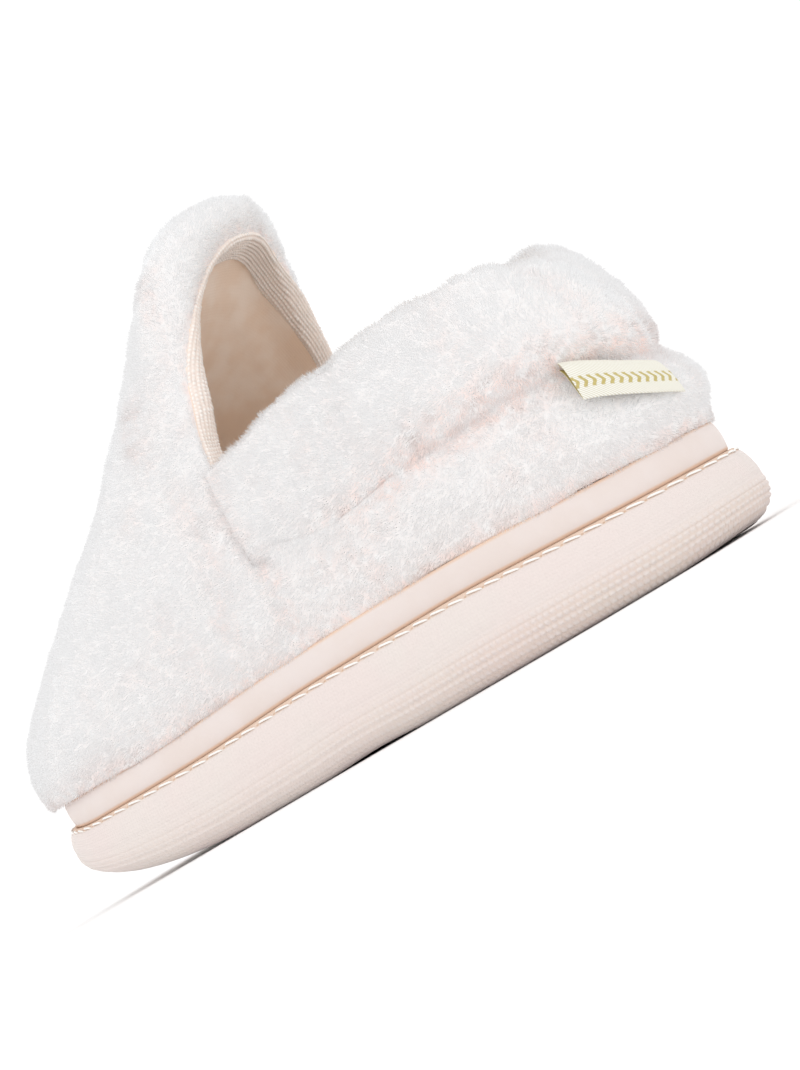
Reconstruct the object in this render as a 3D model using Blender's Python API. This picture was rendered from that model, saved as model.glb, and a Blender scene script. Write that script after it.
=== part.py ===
import math

import bpy
import bmesh
import numpy as np

# closed-back fleece slipper for the right foot, standing on its sole
# sizes below are millimetres: x runs from heel to toe, y to the left, z up from the floor
MM = 0.001
MIDDLE = (131.45, -3.38)
SHARP_EDGE = 38.0

# sole outline at the fullest line of its side wall, from the heel back along the left side
OUTLINE = (
    # x, y
    (-1.1, 2.6), (8.5, 27.0), (37.5, 42.9), (83.3, 44.6),
    (132.8, 44.4), (182.6, 48.3), (224.0, 46.7), (249.9, 28.0),
    (261.2, 1.5), (249.7, -26.5), (221.7, -47.0), (178.5, -56.1),
    (128.6, -53.9), (80.4, -48.7), (37.0, -39.4), (9.6, -21.3),
)
HEEL_COLUMNS = 20
VAMP_COLUMNS = 20
SIDE_SEAM_X = 127.0

# sole
TOE_SPRING = 18.0
SPRING_START = 172.0
SPRING_RUN = 90.0
HEEL_RISE = 2.5
HEEL_RISE_RUN = 26.0
WAIST_RISE = 0.8
WAIST_FROM = 104.0
WAIST_TO = 150.0
TOP_EDGE = (
    # x, height
    (-5.0, 21.5), (15.0, 22.5), (40.0, 24.0), (83.0, 26.0),
    (130.0, 26.2), (183.0, 24.6), (222.0, 25.0), (262.0, 28.5),
)
SIDE_WALL = (
    # share of the wall's height, distance out from the outline
    (0.00, -6.5), (0.07, -4.0), (0.15, -2.1), (0.21, -1.2), (0.24, -1.5),
    (0.27, -0.5), (0.37, -0.1), (0.40, -0.6), (0.43, 0.0), (0.54, -0.5),
    (0.57, 0.0), (0.74, -0.5), (0.90, -1.7), (1.00, -3.4),
)

# tread
GROOVE_OPEN = 2.0
GROOVE_FLOOR = 1.3
GROOVE_DEPTH = 2.0
RIM_MARGIN = 1.8

# foxing band and fit
GAP = 0.3
BAND_HEIGHT = 9.2
BAND_PROFILE = (
    # distance out from the outline, height above the ledge
    (-7.2, 0.0), (-4.9, 0.0), (-4.3, 1.2), (-4.1, 4.6), (-4.5, 7.9), (-5.4, 9.2), (-7.2, 9.2),
)
LASTED_OUT = -7.5
LASTED_IN = -10.5

# upper: where the fleece swells past the band, and the ridge it rises to
ROLL_HEIGHT = 3.5
WALL = 7.0
RIDGE_Y = -3.5
QUARTER = (
    # share of the way from heel back to side seam, fleece out, ridge x, ridge height,
    # lining ridge height, roundness, sweep
    (0.00, -1.8, 74.0, 170.0, 158.0, 1.36, 1.0),
    (0.30, -2.6, 75.0, 170.0, 158.0, 1.75, 1.0),
    (0.60, -3.2, 83.0, 168.0, 155.0, 2.25, 1.4),
    (1.00, -3.2, 101.0, 164.0, 150.5, 2.80, 2.0),
)
VAMP = (
    # share of the way from side seam to toe tip, fleece out, ridge x, roundness, sweep
    (0.00, -3.2, 101.0, 2.80, 2.0),
    (0.25, -2.4, 139.0, 2.60, 1.9),
    (0.50, -1.2, 175.0, 2.40, 1.6),
    (0.75, 0.8, 203.0, 2.20, 1.2),
    (1.00, 2.8, 216.0, 2.20, 1.0),
)
RIDGE = (
    # x, height, height of the lining under it
    (101.0, 164.0, 150.5), (111.0, 166.0, 149.0), (126.0, 157.0, 140.5), (150.0, 135.5, 123.5),
    (175.0, 112.0, 102.5), (200.0, 94.5, 86.0), (218.0, 85.0, 77.0),
)
SEAM = (
    # share of the way from heel back to side seam, collar seam height, topline height
    (0.00, 56.0, 95.0),
    (0.12, 59.0, 98.0),
    (0.25, 63.0, 101.0),
    (0.55, 63.0, 103.0),
    (0.80, 60.0, 98.0),
    (1.00, 66.0, 94.0),
)
SEAM_TUCK = 2.5
LIP_ROLL = 4.5
LIP_SECTION = (
    # share of the way from fleece to lining, share of the roll
    (0.14, 0.72), (0.50, 1.00), (0.86, 0.72),
)
LOW_ROWS = 5
HIGH_ROWS = 13

COLLAR_PROFILE = (
    # share of the height from seam to topline, distance out from the upper's surface
    (0.00, -2.5), (0.07, 0.8), (0.22, 2.9), (0.45, 3.6), (0.70, 2.9), (0.88, 0.8), (0.97, -2.2),
    (1.00, -5.2), (0.96, -8.2), (0.84, -10.2), (0.55, -10.6), (0.22, -9.4), (0.00, -7.5),
)
COLLAR_END_GAP = 1.3

INSOLE_OUT = -11.0
INSOLE_HEIGHT = 5.0
INSOLE_DISH = 1.0

LABEL_FROM = 0.075
LABEL_TO = 0.245
LABEL_COLUMNS = 9
LABEL_THICK = 1.2
LABEL_LINE = (
    # distance out from the upper's surface, height above the collar seam
    (-1.2, -0.1), (0.6, -0.3), (2.6, -1.5), (4.2, -4.2), (5.4, -7.6), (6.2, -11.0),
)


def smooth(table, column, at):
    rows = np.array(table, float)
    x, y = rows[:, 0], rows[:, column]
    at = np.clip(at, x[0], x[-1])
    step = np.diff(x)
    slope = np.diff(y) / step
    tangent = np.empty(len(x))
    tangent[0], tangent[-1] = slope[0], slope[-1]
    for i in range(1, len(x) - 1):
        same = slope[i - 1] * slope[i] > 0
        tangent[i] = 2 * slope[i - 1] * slope[i] / (slope[i - 1] + slope[i]) if same else 0.0
    i = np.clip(np.searchsorted(x, at, side="right") - 1, 0, len(x) - 2)
    t = (at - x[i]) / step[i]
    return ((1 + 2 * t) * (1 - t) ** 2 * y[i] + t * (1 - t) ** 2 * step[i] * tangent[i]
            + t * t * (3 - 2 * t) * y[i + 1] + t * t * (t - 1) * step[i] * tangent[i + 1])


def closed_curve(points, count):
    p = np.array(points, float)
    n = len(p)
    h = np.linalg.norm(np.roll(p, -1, 0) - p, axis=1)
    a = np.zeros((n, n))
    b = np.zeros((n, 2))
    for i in range(n):
        before, after = (i - 1) % n, (i + 1) % n
        a[i, before] += h[before]
        a[i, i] += 2 * (h[before] + h[i])
        a[i, after] += h[i]
        b[i] = 6 * ((p[after] - p[i]) / h[i] - (p[i] - p[before]) / h[before])
    bend = np.linalg.solve(a, b)
    knots = np.concatenate(([0], np.cumsum(h)))
    s = np.linspace(0, knots[-1], count, endpoint=False)
    i = np.clip(np.searchsorted(knots, s, side="right") - 1, 0, n - 1)
    j = (i + 1) % n
    t = ((s - knots[i]) / h[i])[:, None]
    hh = (h[i] ** 2)[:, None] / 6
    return (1 - t) * p[i] + t * p[j] + hh * (((1 - t) ** 3 - (1 - t)) * bend[i] + (t ** 3 - t) * bend[j])


DENSE = closed_curve(OUTLINE, 4000)
RUN = np.concatenate(([0], np.cumsum(np.linalg.norm(np.roll(DENSE, -1, 0) - DENSE, axis=1))))
ROUND = RUN[-1]
ALONG = np.roll(DENSE, -1, 0) - np.roll(DENSE, 1, 0)
ALONG /= np.linalg.norm(ALONG, axis=1)[:, None]


def around(values, s):
    wrapped = np.vstack((values, values[:1]))
    s = np.mod(s, ROUND)
    return np.stack([np.interp(s, RUN, wrapped[:, k]) for k in (0, 1)], axis=-1)


def outline(s, out):
    p = around(DENSE, s)
    along = around(ALONG, s)
    out = np.broadcast_to(out, np.shape(s))[..., None]
    return p + out * np.stack((-along[..., 1], along[..., 0]), axis=-1)


TOE = RUN[np.argmax(DENSE[:, 0])]
LEFT_SEAM = RUN[np.argmax(DENSE[:2000, 0] > SIDE_SEAM_X)]
RIGHT_SEAM = RUN[len(DENSE) - 1 - np.argmax(DENSE[::-1][:1900, 0] > SIDE_SEAM_X)]
STATIONS = np.concatenate((
    np.linspace(0, LEFT_SEAM, HEEL_COLUMNS, endpoint=False),
    np.linspace(LEFT_SEAM, TOE, VAMP_COLUMNS, endpoint=False),
    np.linspace(TOE, RIGHT_SEAM, VAMP_COLUMNS, endpoint=False),
    np.linspace(RIGHT_SEAM, ROUND, HEEL_COLUMNS, endpoint=False),
))
COLUMNS = len(STATIONS)
HALF = COLUMNS // 2


def tread_height(x):
    spring = np.clip((x - SPRING_START) / SPRING_RUN, 0, None) ** 2
    heel = np.clip((HEEL_RISE_RUN - x) / HEEL_RISE_RUN, 0, None) ** 2
    waist = np.clip((x - WAIST_FROM) / (WAIST_TO - WAIST_FROM), 0, 1)
    return TOE_SPRING * spring + HEEL_RISE * heel + WAIST_RISE * np.sin(math.pi * waist) ** 2


def ledge_height(x):
    return smooth(TOP_EDGE, 1, x)


def mesh_object(name, verts, faces, colour, roughness):
    mesh = bpy.data.meshes.new(name)
    moved = np.array(verts, float) - (MIDDLE[0], MIDDLE[1], 0.0)
    mesh.from_pydata((moved * MM).tolist(), [], faces)
    body = bmesh.new()
    body.from_mesh(mesh)
    bmesh.ops.recalc_face_normals(body, faces=body.faces)
    body.to_mesh(mesh)
    body.free()
    mesh.shade_smooth()
    mesh.set_sharp_from_angle(angle=math.radians(SHARP_EDGE))
    material = bpy.data.materials.new(name + "_material")
    material.use_nodes = True
    shader = material.node_tree.nodes["Principled BSDF"]
    shader.inputs["Base Color"].default_value = (*colour, 1.0)
    shader.inputs["Roughness"].default_value = roughness
    shader.inputs["Metallic"].default_value = 0.0
    mesh.materials.append(material)
    item = bpy.data.objects.new(name, mesh)
    bpy.context.scene.collection.objects.link(item)
    return item


def ring_faces(first, second, count):
    return [(first + i, first + (i + 1) % count, second + (i + 1) % count, second + i) for i in range(count)]


def across_faces(first):
    faces = [(first, first + 1, first + COLUMNS - 1)]
    for i in range(1, HALF - 1):
        faces.append((first + i, first + i + 1, first + COLUMNS - i - 1, first + COLUMNS - i))
    faces.append((first + HALF - 1, first + HALF, first + HALF + 1))
    return faces


def stacked_rings(rings):
    verts = [tuple(p) for ring in rings for p in ring]
    faces = across_faces(0) + across_faces((len(rings) - 1) * COLUMNS)
    for k in range(len(rings) - 1):
        faces += ring_faces(k * COLUMNS, (k + 1) * COLUMNS, COLUMNS)
    return verts, faces


def level_ring(out, height):
    p = outline(STATIONS, out)
    return np.column_stack((p, height(p[:, 0])))


# tread grooves: nested chevrons on the heel, bent lines across the forefoot
def groove_lines():
    lines = []
    for k in range(3):
        lines.append([(8 - 1.6 * k, 16 - 5.6 * k), (19 - k, 7 - 7 * k), (33 + k, -1.5 - 7.4 * k),
                      (59 + 9 * k, 21 + 0.3 * k), (65 + 7.5 * k, 29), (67 + 7.4 * k, 38)])
    for k in range(2):
        lines.append([(5 + 4 * k, -1.7 - 9.5 * k), (17 + 5 * k, -12.5 - 7 * k),
                      (35.3 + 0.5 * k, -22.9 - 5.7 * k), (87 + 1.6 * k, 25 - 8.4 * k),
                      (140.7 + 2.2 * k, 18.6 - 8.2 * k)])
    for k in range(3):
        lines.append([(38 + 7.4 * k, -41 - 1.5 * k), (90 + k, 7.9 - 7.2 * k), (145 + 0.6 * k, 2.1 - 7.8 * k)])
    lines.append([(85, 35.6), (139, 29.2)])
    for k in range(6):
        lines.append([(90 - 6.6 * k, -16.2 - 4.7 * k), (95.2 + 0.4 * k, -17.2 - 5.5 * k),
                      (99.3 + 6.7 * k, -13 - 0.9 * k)])
    for k in range(3):
        lines.append([(104.3 + 6.9 * k, -47.5), (139.5 + 4.2 * k, -18.2 - 2.4 * k * (k - 1))])
    lines.append([(137.5, 42), (143.5, 24), (148.5, 4), (151.5, -20), (152.5, -38), (151, -55)])
    for k in range(7):
        lines.append([(145 + 6.3 * k, 46), (151.5 + 6.1 * k, 21 + 2.6 * k), (160 + 5.4 * k, -22.2 + 7.9 * k),
                      (217 + 6.7 * k, -26.1 + 5.6 * k), (218 + 6.6 * k, -50 + 6 * k)])
    lines.append([(189.5, 46), (195.5, 33.2), (243, 21.5)])
    for k in range(5):
        lines.append([(160.2 + 6.9 * k, -28.2 - 0.4 * k), (160.8 + 6.9 * k, -39), (159 + 6.9 * k, -56)])
    lines.append([(194.6, -30.4), (195, -45.6), (203, -45.4)])
    lines.append([(201.2, -30.8), (202, -40.6), (211.5, -40.6)])
    lines.append([(207.8, -31.4), (208.4, -35), (212, -34.6)])
    lines.append([(52.9, 36.2), (58.6, 34.6)])
    lines.append([(40.7, 35), (54.3, 26.4)])
    lines.append([(29.2, 32.6), (48.6, 19.3)])
    lines.append([(16.6, 18.6), (27.9, 24.3), (42.9, 14.3)])
    lines.append([(25, 10), (30.7, 13.6), (37, 9.3)])
    return lines


def inside(points, edge):
    x, y = points[:, 0][:, None], points[:, 1][:, None]
    x1, y1 = edge[:, 0], edge[:, 1]
    x2, y2 = np.roll(x1, -1), np.roll(y1, -1)
    crosses = (y1 > y) != (y2 > y)
    where = (x2 - x1) * (y - y1) / np.where(y2 == y1, 1e-9, y2 - y1) + x1
    return (np.sum(crosses & (x < where), axis=1) % 2) == 1


def clipped(line, edge):
    points, keep = [], []
    for (ax, ay), (bx, by) in zip(line[:-1], line[1:]):
        parts = max(2, int(math.hypot(bx - ax, by - ay) / 0.5))
        for i in range(parts):
            t = i / parts
            points.append((ax + (bx - ax) * t, ay + (by - ay) * t))
            keep.append(i == 0)
    points.append(line[-1])
    keep.append(True)
    within = np.where(inside(np.array(points), edge))[0]
    chosen = [points[within[0]]]
    last = within[0]
    for i in within[1:-1]:
        far = points[i][0] > SPRING_START - 4 and i - last >= 26
        if (keep[i] and i - within[0] > 4 and within[-1] - i > 4) or far:
            chosen.append(points[i])
            last = i
    chosen.append(points[within[-1]])
    return np.array(chosen)


def groove_cutter():
    edge = outline(np.linspace(0, ROUND, 600, endpoint=False), SIDE_WALL[0][1] - RIM_MARGIN)
    verts, faces = [], []
    for line in groove_lines():
        p = clipped(line, edge)
        way = np.diff(p, axis=0)
        way /= np.linalg.norm(way, axis=1)[:, None]
        side = np.column_stack((-way[:, 1], way[:, 0]))
        first = len(verts)
        for i, (x, y) in enumerate(p):
            if 0 < i < len(p) - 1:
                across = side[i - 1] + side[i]
                across /= np.dot(across, side[i])
            else:
                across = side[min(i, len(side) - 1)]
            z = float(tread_height(x))
            for half, height in ((GROOVE_FLOOR / 2, GROOVE_DEPTH), (-GROOVE_FLOOR / 2, GROOVE_DEPTH),
                                 (-GROOVE_OPEN / 2, -1.0), (GROOVE_OPEN / 2, -1.0)):
                verts.append((x + half * across[0], y + half * across[1], z + height))
        for i in range(len(p) - 1):
            a, b = first + 4 * i, first + 4 * i + 4
            faces += [(a + k, a + (k + 1) % 4, b + (k + 1) % 4, b + k) for k in range(4)]
        end = first + 4 * (len(p) - 1)
        faces += [(first, first + 1, first + 2, first + 3), (end, end + 1, end + 2, end + 3)]
    return verts, faces


def make_outsole():
    rings = []
    for share, out in SIDE_WALL:
        p = outline(STATIONS, out)
        rim = outline(STATIONS, SIDE_WALL[0][1])[:, 0]
        low = tread_height(rim)
        rings.append(np.column_stack((p, low + share * (ledge_height(p[:, 0]) - low))))
    verts, faces = stacked_rings(rings)
    sole = mesh_object("outsole", verts, faces, (0.84, 0.75, 0.68), 0.62)
    verts, faces = groove_cutter()
    cutter = mesh_object("tread_grooves", verts, faces, (0.5, 0.5, 0.5), 0.5)
    cutter.hide_render = True
    cutter.display_type = "WIRE"
    cut = sole.modifiers.new("tread", "BOOLEAN")
    cut.operation = "DIFFERENCE"
    cut.solver = "EXACT"
    cut.use_self = True
    cut.object = cutter
    return [sole, cutter]


def make_band():
    verts, faces = [], []
    count = len(BAND_PROFILE)
    for out, up in BAND_PROFILE:
        verts += [tuple(v) for v in level_ring(out, lambda x: ledge_height(x) + GAP + up)]
    for k in range(count):
        faces += ring_faces(k * COLUMNS, (k + 1) % count * COLUMNS, COLUMNS)
    return mesh_object("foxing_band", verts, faces, (0.87, 0.77, 0.69), 0.5)


# the last: every column is an arch from the fleece's foot up to the ridge
def shares(s):
    left = s <= TOE
    seam = np.where(left, LEFT_SEAM, RIGHT_SEAM)
    heel_end = np.where(left, 0.0, ROUND)
    quarter = np.abs(s - heel_end) / np.abs(seam - heel_end)
    vamp = np.abs(s - seam) / np.abs(TOE - seam)
    is_vamp = quarter > 1.0
    return np.where(is_vamp, 1.0, quarter), np.where(is_vamp, vamp, 0.0), is_vamp


def column_frame(s, inner):
    quarter, vamp, is_vamp = shares(s)
    out = np.where(is_vamp, smooth(VAMP, 1, vamp), smooth(QUARTER, 1, quarter))
    ridge_x = np.where(is_vamp, smooth(VAMP, 2, vamp), smooth(QUARTER, 2, quarter))
    power = np.where(is_vamp, smooth(VAMP, 3, vamp), smooth(QUARTER, 5, quarter))
    sweep = np.where(is_vamp, smooth(VAMP, 4, vamp), smooth(QUARTER, 6, quarter))
    layer = 2 if inner else 1
    ridge_z = np.where(is_vamp, smooth(RIDGE, layer, ridge_x), smooth(QUARTER, layer + 2, quarter))
    fall = (smooth(RIDGE, layer, ridge_x - 1.5) - smooth(RIDGE, layer, ridge_x + 1.5)) / 3.0
    slope = np.where(is_vamp, fall * np.clip(vamp / 0.2, 0, 1), 0.0)
    foot_x = outline(s, LASTED_OUT)[..., 0]
    foot_z = ledge_height(foot_x) + GAP + BAND_HEIGHT + ROLL_HEIGHT
    if inner:
        out = np.minimum(out - WALL, LASTED_IN + 1.0)
    return outline(s, out), foot_z, ridge_x, ridge_z, power, sweep, slope


def last_points(s, angle, inner=False):
    foot, foot_z, ridge_x, ridge_z, power, sweep, slope = column_frame(s, inner)
    low = np.maximum(np.cos(angle), 0.0) ** (2 / power)
    high = np.maximum(np.sin(angle), 0.0) ** (2 / power)
    back = low ** sweep
    dx = foot[..., 0] - ridge_x
    dy = foot[..., 1] - RIDGE_Y
    fall = slope * dx
    z = foot_z + (ridge_z - foot_z - fall) * high + fall * (1 - back)
    return np.stack((ridge_x + dx * back, RIDGE_Y + dy * low, z), axis=-1)


def angle_at(s, height, inner=False):
    steps = np.linspace(0, math.pi / 2, 400)
    found = []
    for one, z in zip(np.atleast_1d(s), np.atleast_1d(height)):
        p = last_points(np.full(400, one), steps, inner)
        found.append(np.interp(z, p[:, 2], steps))
    return np.array(found)


def surface_frame(s, angle):
    p = last_points(s, angle)
    du = last_points(s + 0.5, angle) - last_points(s - 0.5, angle)
    dv = last_points(s, angle + 0.01) - last_points(s, angle - 0.01)
    normal = np.cross(dv, du)
    normal /= np.linalg.norm(normal, axis=-1)[..., None]
    return p, normal


def make_upper():
    quarter, vamp, is_vamp = shares(STATIONS)
    side = np.isclose(quarter, 1.0) & np.isclose(vamp, 0.0)
    seam_z = smooth(SEAM, 1, quarter) - GAP
    verts, faces = [], []
    index = {}

    def put(key, point):
        index[key] = len(verts)
        verts.append(tuple(point))

    for layer in (0, 1):
        split = angle_at(STATIONS, seam_z, layer == 1)
        split = np.where(is_vamp & ~side, split + (math.radians(34) - split) * vamp, split)
        for i in range(COLUMNS):
            rows = HIGH_ROWS if is_vamp[i] or side[i] else LOW_ROWS
            for k in range(rows + 1):
                if k == HIGH_ROWS and i > HALF:
                    index[layer, i, k] = index[layer, COLUMNS - i, k]
                    continue
                if k <= LOW_ROWS:
                    angle = split[i] * k / LOW_ROWS
                else:
                    angle = split[i] + (math.pi / 2 - split[i]) * (k - LOW_ROWS) / (HIGH_ROWS - LOW_ROWS)
                point = last_points(STATIONS[i:i + 1], np.array([angle]), layer == 1)[0]
                if k == LOW_ROWS and rows == LOW_ROWS:
                    if layer == 0:
                        _, normal = surface_frame(STATIONS[i:i + 1], np.array([angle]))
                        point = point - SEAM_TUCK * normal[0]
                    point[2] = seam_z[i]
                put((layer, i, k), point)

    # foot of the wall: roll under the fleece, then the lasted edge behind the band
    foot_out = np.where(is_vamp, smooth(VAMP, 1, vamp), smooth(QUARTER, 1, quarter))
    band_top = GAP + BAND_HEIGHT + 0.4
    feet = (
        (foot_out - 0.9, band_top + 1.6),
        (np.minimum(foot_out - 3.4, -4.0), band_top + 0.4),
        (LASTED_OUT, band_top),
        (LASTED_OUT, GAP),
        (LASTED_IN, GAP),
        (LASTED_IN, band_top - 1.0),
    )
    for r, (out, up) in enumerate(feet):
        for i, p in enumerate(outline(STATIONS, out)):
            foot_x = outline(STATIONS[i:i + 1], LASTED_OUT)[0, 0]
            put(("foot", i, r), (p[0], p[1], float(ledge_height(foot_x)) + up))

    for i in range(COLUMNS):
        j = (i + 1) % COLUMNS
        tall = (is_vamp[i] or side[i]) and (is_vamp[j] or side[j])
        rows = HIGH_ROWS if tall else LOW_ROWS
        for layer in (0, 1):
            for k in range(rows):
                quad = [index[layer, i, k], index[layer, j, k],
                        index[layer, j, k + 1], index[layer, i, k + 1]]
                face = list(dict.fromkeys(quad))
                faces.append(face)
        chain_i = [index[0, i, 0]] + [index["foot", i, r] for r in range(len(feet))] + [index[1, i, 0]]
        chain_j = [index[0, j, 0]] + [index["foot", j, r] for r in range(len(feet))] + [index[1, j, 0]]
        for k in range(len(chain_i) - 1):
            faces.append((chain_i[k], chain_j[k], chain_j[k + 1], chain_i[k + 1]))

    # throat edge, rolled above the collar
    left = HEEL_COLUMNS
    right = COLUMNS - HEEL_COLUMNS
    back = np.array((-0.96, 0.0, 0.28))
    steps = range(len(LIP_SECTION))
    for i in (left, right):
        for k in range(LOW_ROWS, HIGH_ROWS + 1):
            outer = np.array(verts[index[0, i, k]])
            inner = np.array(verts[index[1, i, k]])
            share = np.clip((outer[2] - SEAM[-1][2] - 8.0) / 14.0, 0, 1)
            share = share * share * (3 - 2 * share)
            for n, (through, roll) in enumerate(LIP_SECTION):
                if i == right and k == HIGH_ROWS:
                    index["lip", i, k, n] = index["lip", left, k, n]
                else:
                    put(("lip", i, k, n), outer + through * (inner - outer) + LIP_ROLL * roll * share * back)
        for k in range(LOW_ROWS, HIGH_ROWS):
            low = [index[0, i, k]] + [index["lip", i, k, n] for n in steps] + [index[1, i, k]]
            high = [index[0, i, k + 1]] + [index["lip", i, k + 1, n] for n in steps] + [index[1, i, k + 1]]
            for n in range(len(low) - 1):
                faces.append((low[n], low[n + 1], high[n + 1], high[n]))

    # top edge of the quarters
    for i in list(range(right, COLUMNS)) + list(range(0, left)):
        j = (i + 1) % COLUMNS
        face = [index[0, i, LOW_ROWS], index[0, j, LOW_ROWS]]
        face += [index["lip", j, LOW_ROWS, n] for n in steps] if j == left else []
        face += [index[1, j, LOW_ROWS], index[1, i, LOW_ROWS]]
        face += [index["lip", i, LOW_ROWS, n] for n in reversed(steps)] if i == right else []
        faces.append(face)
    return mesh_object("upper", verts, faces, (0.90, 0.88, 0.87), 0.95)


def make_collar():
    inner_run = np.concatenate((STATIONS[COLUMNS - HEEL_COLUMNS + 1:] - ROUND, STATIONS[:HEEL_COLUMNS]))
    run = np.concatenate(([RIGHT_SEAM - ROUND + COLLAR_END_GAP], inner_run, [LEFT_SEAM - COLLAR_END_GAP]))
    at = np.mod(run, ROUND)
    quarter, _, _ = shares(at)
    low = smooth(SEAM, 1, quarter)
    top = smooth(SEAM, 2, quarter)
    verts, faces = [], []
    for share, out in COLLAR_PROFILE:
        height = low + share * (top - low)
        p, normal = surface_frame(at, angle_at(at, height))
        normal[[0, -1], 0] = 0.0
        p = p + out * normal
        if share == 0.0:
            p[:, 2] = low
        verts += [tuple(v) for v in p]
    count = len(run)
    rows = len(COLLAR_PROFILE)
    for k in range(rows):
        a, b = k * count, (k + 1) % rows * count
        faces += [(a + i, a + i + 1, b + i + 1, b + i) for i in range(count - 1)]
    faces.append([k * count for k in range(rows)])
    faces.append([k * count + count - 1 for k in range(rows)])
    return mesh_object("collar", verts, faces, (0.90, 0.88, 0.87), 0.95)


def make_insole():
    rings = (
        level_ring(INSOLE_OUT, lambda x: ledge_height(x) + GAP),
        level_ring(INSOLE_OUT, lambda x: ledge_height(x) + GAP + INSOLE_HEIGHT - 1.4),
        level_ring(INSOLE_OUT - 1.4, lambda x: ledge_height(x) + GAP + INSOLE_HEIGHT),
        level_ring(INSOLE_OUT - 12.0, lambda x: ledge_height(x) + GAP + INSOLE_HEIGHT - INSOLE_DISH),
    )
    verts, faces = stacked_rings(rings)
    return mesh_object("insole", verts, faces, (0.78, 0.67, 0.57), 0.95)


def make_label():
    run = np.linspace(LABEL_FROM, LABEL_TO, LABEL_COLUMNS) * LEFT_SEAM
    quarter, _, _ = shares(run)
    seam = smooth(SEAM, 1, quarter)
    line = np.array(LABEL_LINE)
    way = np.gradient(line, axis=0)
    way /= np.linalg.norm(way, axis=1)[:, None]
    side = np.column_stack((-way[:, 1], way[:, 0])) * LABEL_THICK / 2
    loop = np.vstack((line + side, line[-1:] + way[-1:] * LABEL_THICK / 2, (line - side)[::-1]))
    p, normal = surface_frame(run, angle_at(run, seam))
    flat = normal[:, :2] / np.linalg.norm(normal[:, :2], axis=1)[:, None]
    verts, faces = [], []
    for out, up in loop:
        verts += [tuple(v) for v in np.column_stack((p[:, :2] + out * flat, seam + up))]
    rows = len(loop)
    for k in range(rows):
        a, b = k * LABEL_COLUMNS, (k + 1) % rows * LABEL_COLUMNS
        faces += [(a + i, a + i + 1, b + i + 1, b + i) for i in range(LABEL_COLUMNS - 1)]
    faces.append([k * LABEL_COLUMNS for k in range(rows)])
    faces.append([(k + 1) * LABEL_COLUMNS - 1 for k in range(rows)])
    return mesh_object("heel_label", verts, faces, (0.86, 0.82, 0.72), 0.7)


def main():
    for item in list(bpy.data.objects):
        bpy.data.objects.remove(item, do_unlink=True)
    root = bpy.data.objects.new("slipper", None)
    bpy.context.scene.collection.objects.link(root)
    pieces = make_outsole()
    pieces += [make_band(), make_upper(), make_collar(), make_insole(), make_label()]
    for piece in pieces:
        piece.parent = root


main()
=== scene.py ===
import math

import bmesh
import bpy
import numpy as np
from mathutils import Matrix, Vector, kdtree


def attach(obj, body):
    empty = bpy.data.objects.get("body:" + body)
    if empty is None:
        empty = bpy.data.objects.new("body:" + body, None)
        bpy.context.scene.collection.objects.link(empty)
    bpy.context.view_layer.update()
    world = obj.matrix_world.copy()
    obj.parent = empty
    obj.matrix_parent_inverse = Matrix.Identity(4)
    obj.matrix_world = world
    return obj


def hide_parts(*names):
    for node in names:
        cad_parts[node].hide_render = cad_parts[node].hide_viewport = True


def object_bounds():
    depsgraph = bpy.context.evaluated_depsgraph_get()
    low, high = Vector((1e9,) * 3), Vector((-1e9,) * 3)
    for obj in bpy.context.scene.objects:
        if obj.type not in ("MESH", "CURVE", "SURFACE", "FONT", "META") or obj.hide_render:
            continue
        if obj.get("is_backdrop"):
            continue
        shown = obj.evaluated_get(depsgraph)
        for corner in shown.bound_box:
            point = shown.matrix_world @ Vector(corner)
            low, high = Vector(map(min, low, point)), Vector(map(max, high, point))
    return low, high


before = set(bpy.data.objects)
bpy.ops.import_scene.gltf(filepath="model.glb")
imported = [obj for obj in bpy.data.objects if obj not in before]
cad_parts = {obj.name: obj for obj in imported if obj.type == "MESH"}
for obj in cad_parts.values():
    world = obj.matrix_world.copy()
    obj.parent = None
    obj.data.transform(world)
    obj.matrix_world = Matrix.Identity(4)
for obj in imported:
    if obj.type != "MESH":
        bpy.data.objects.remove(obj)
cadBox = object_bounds()

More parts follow.
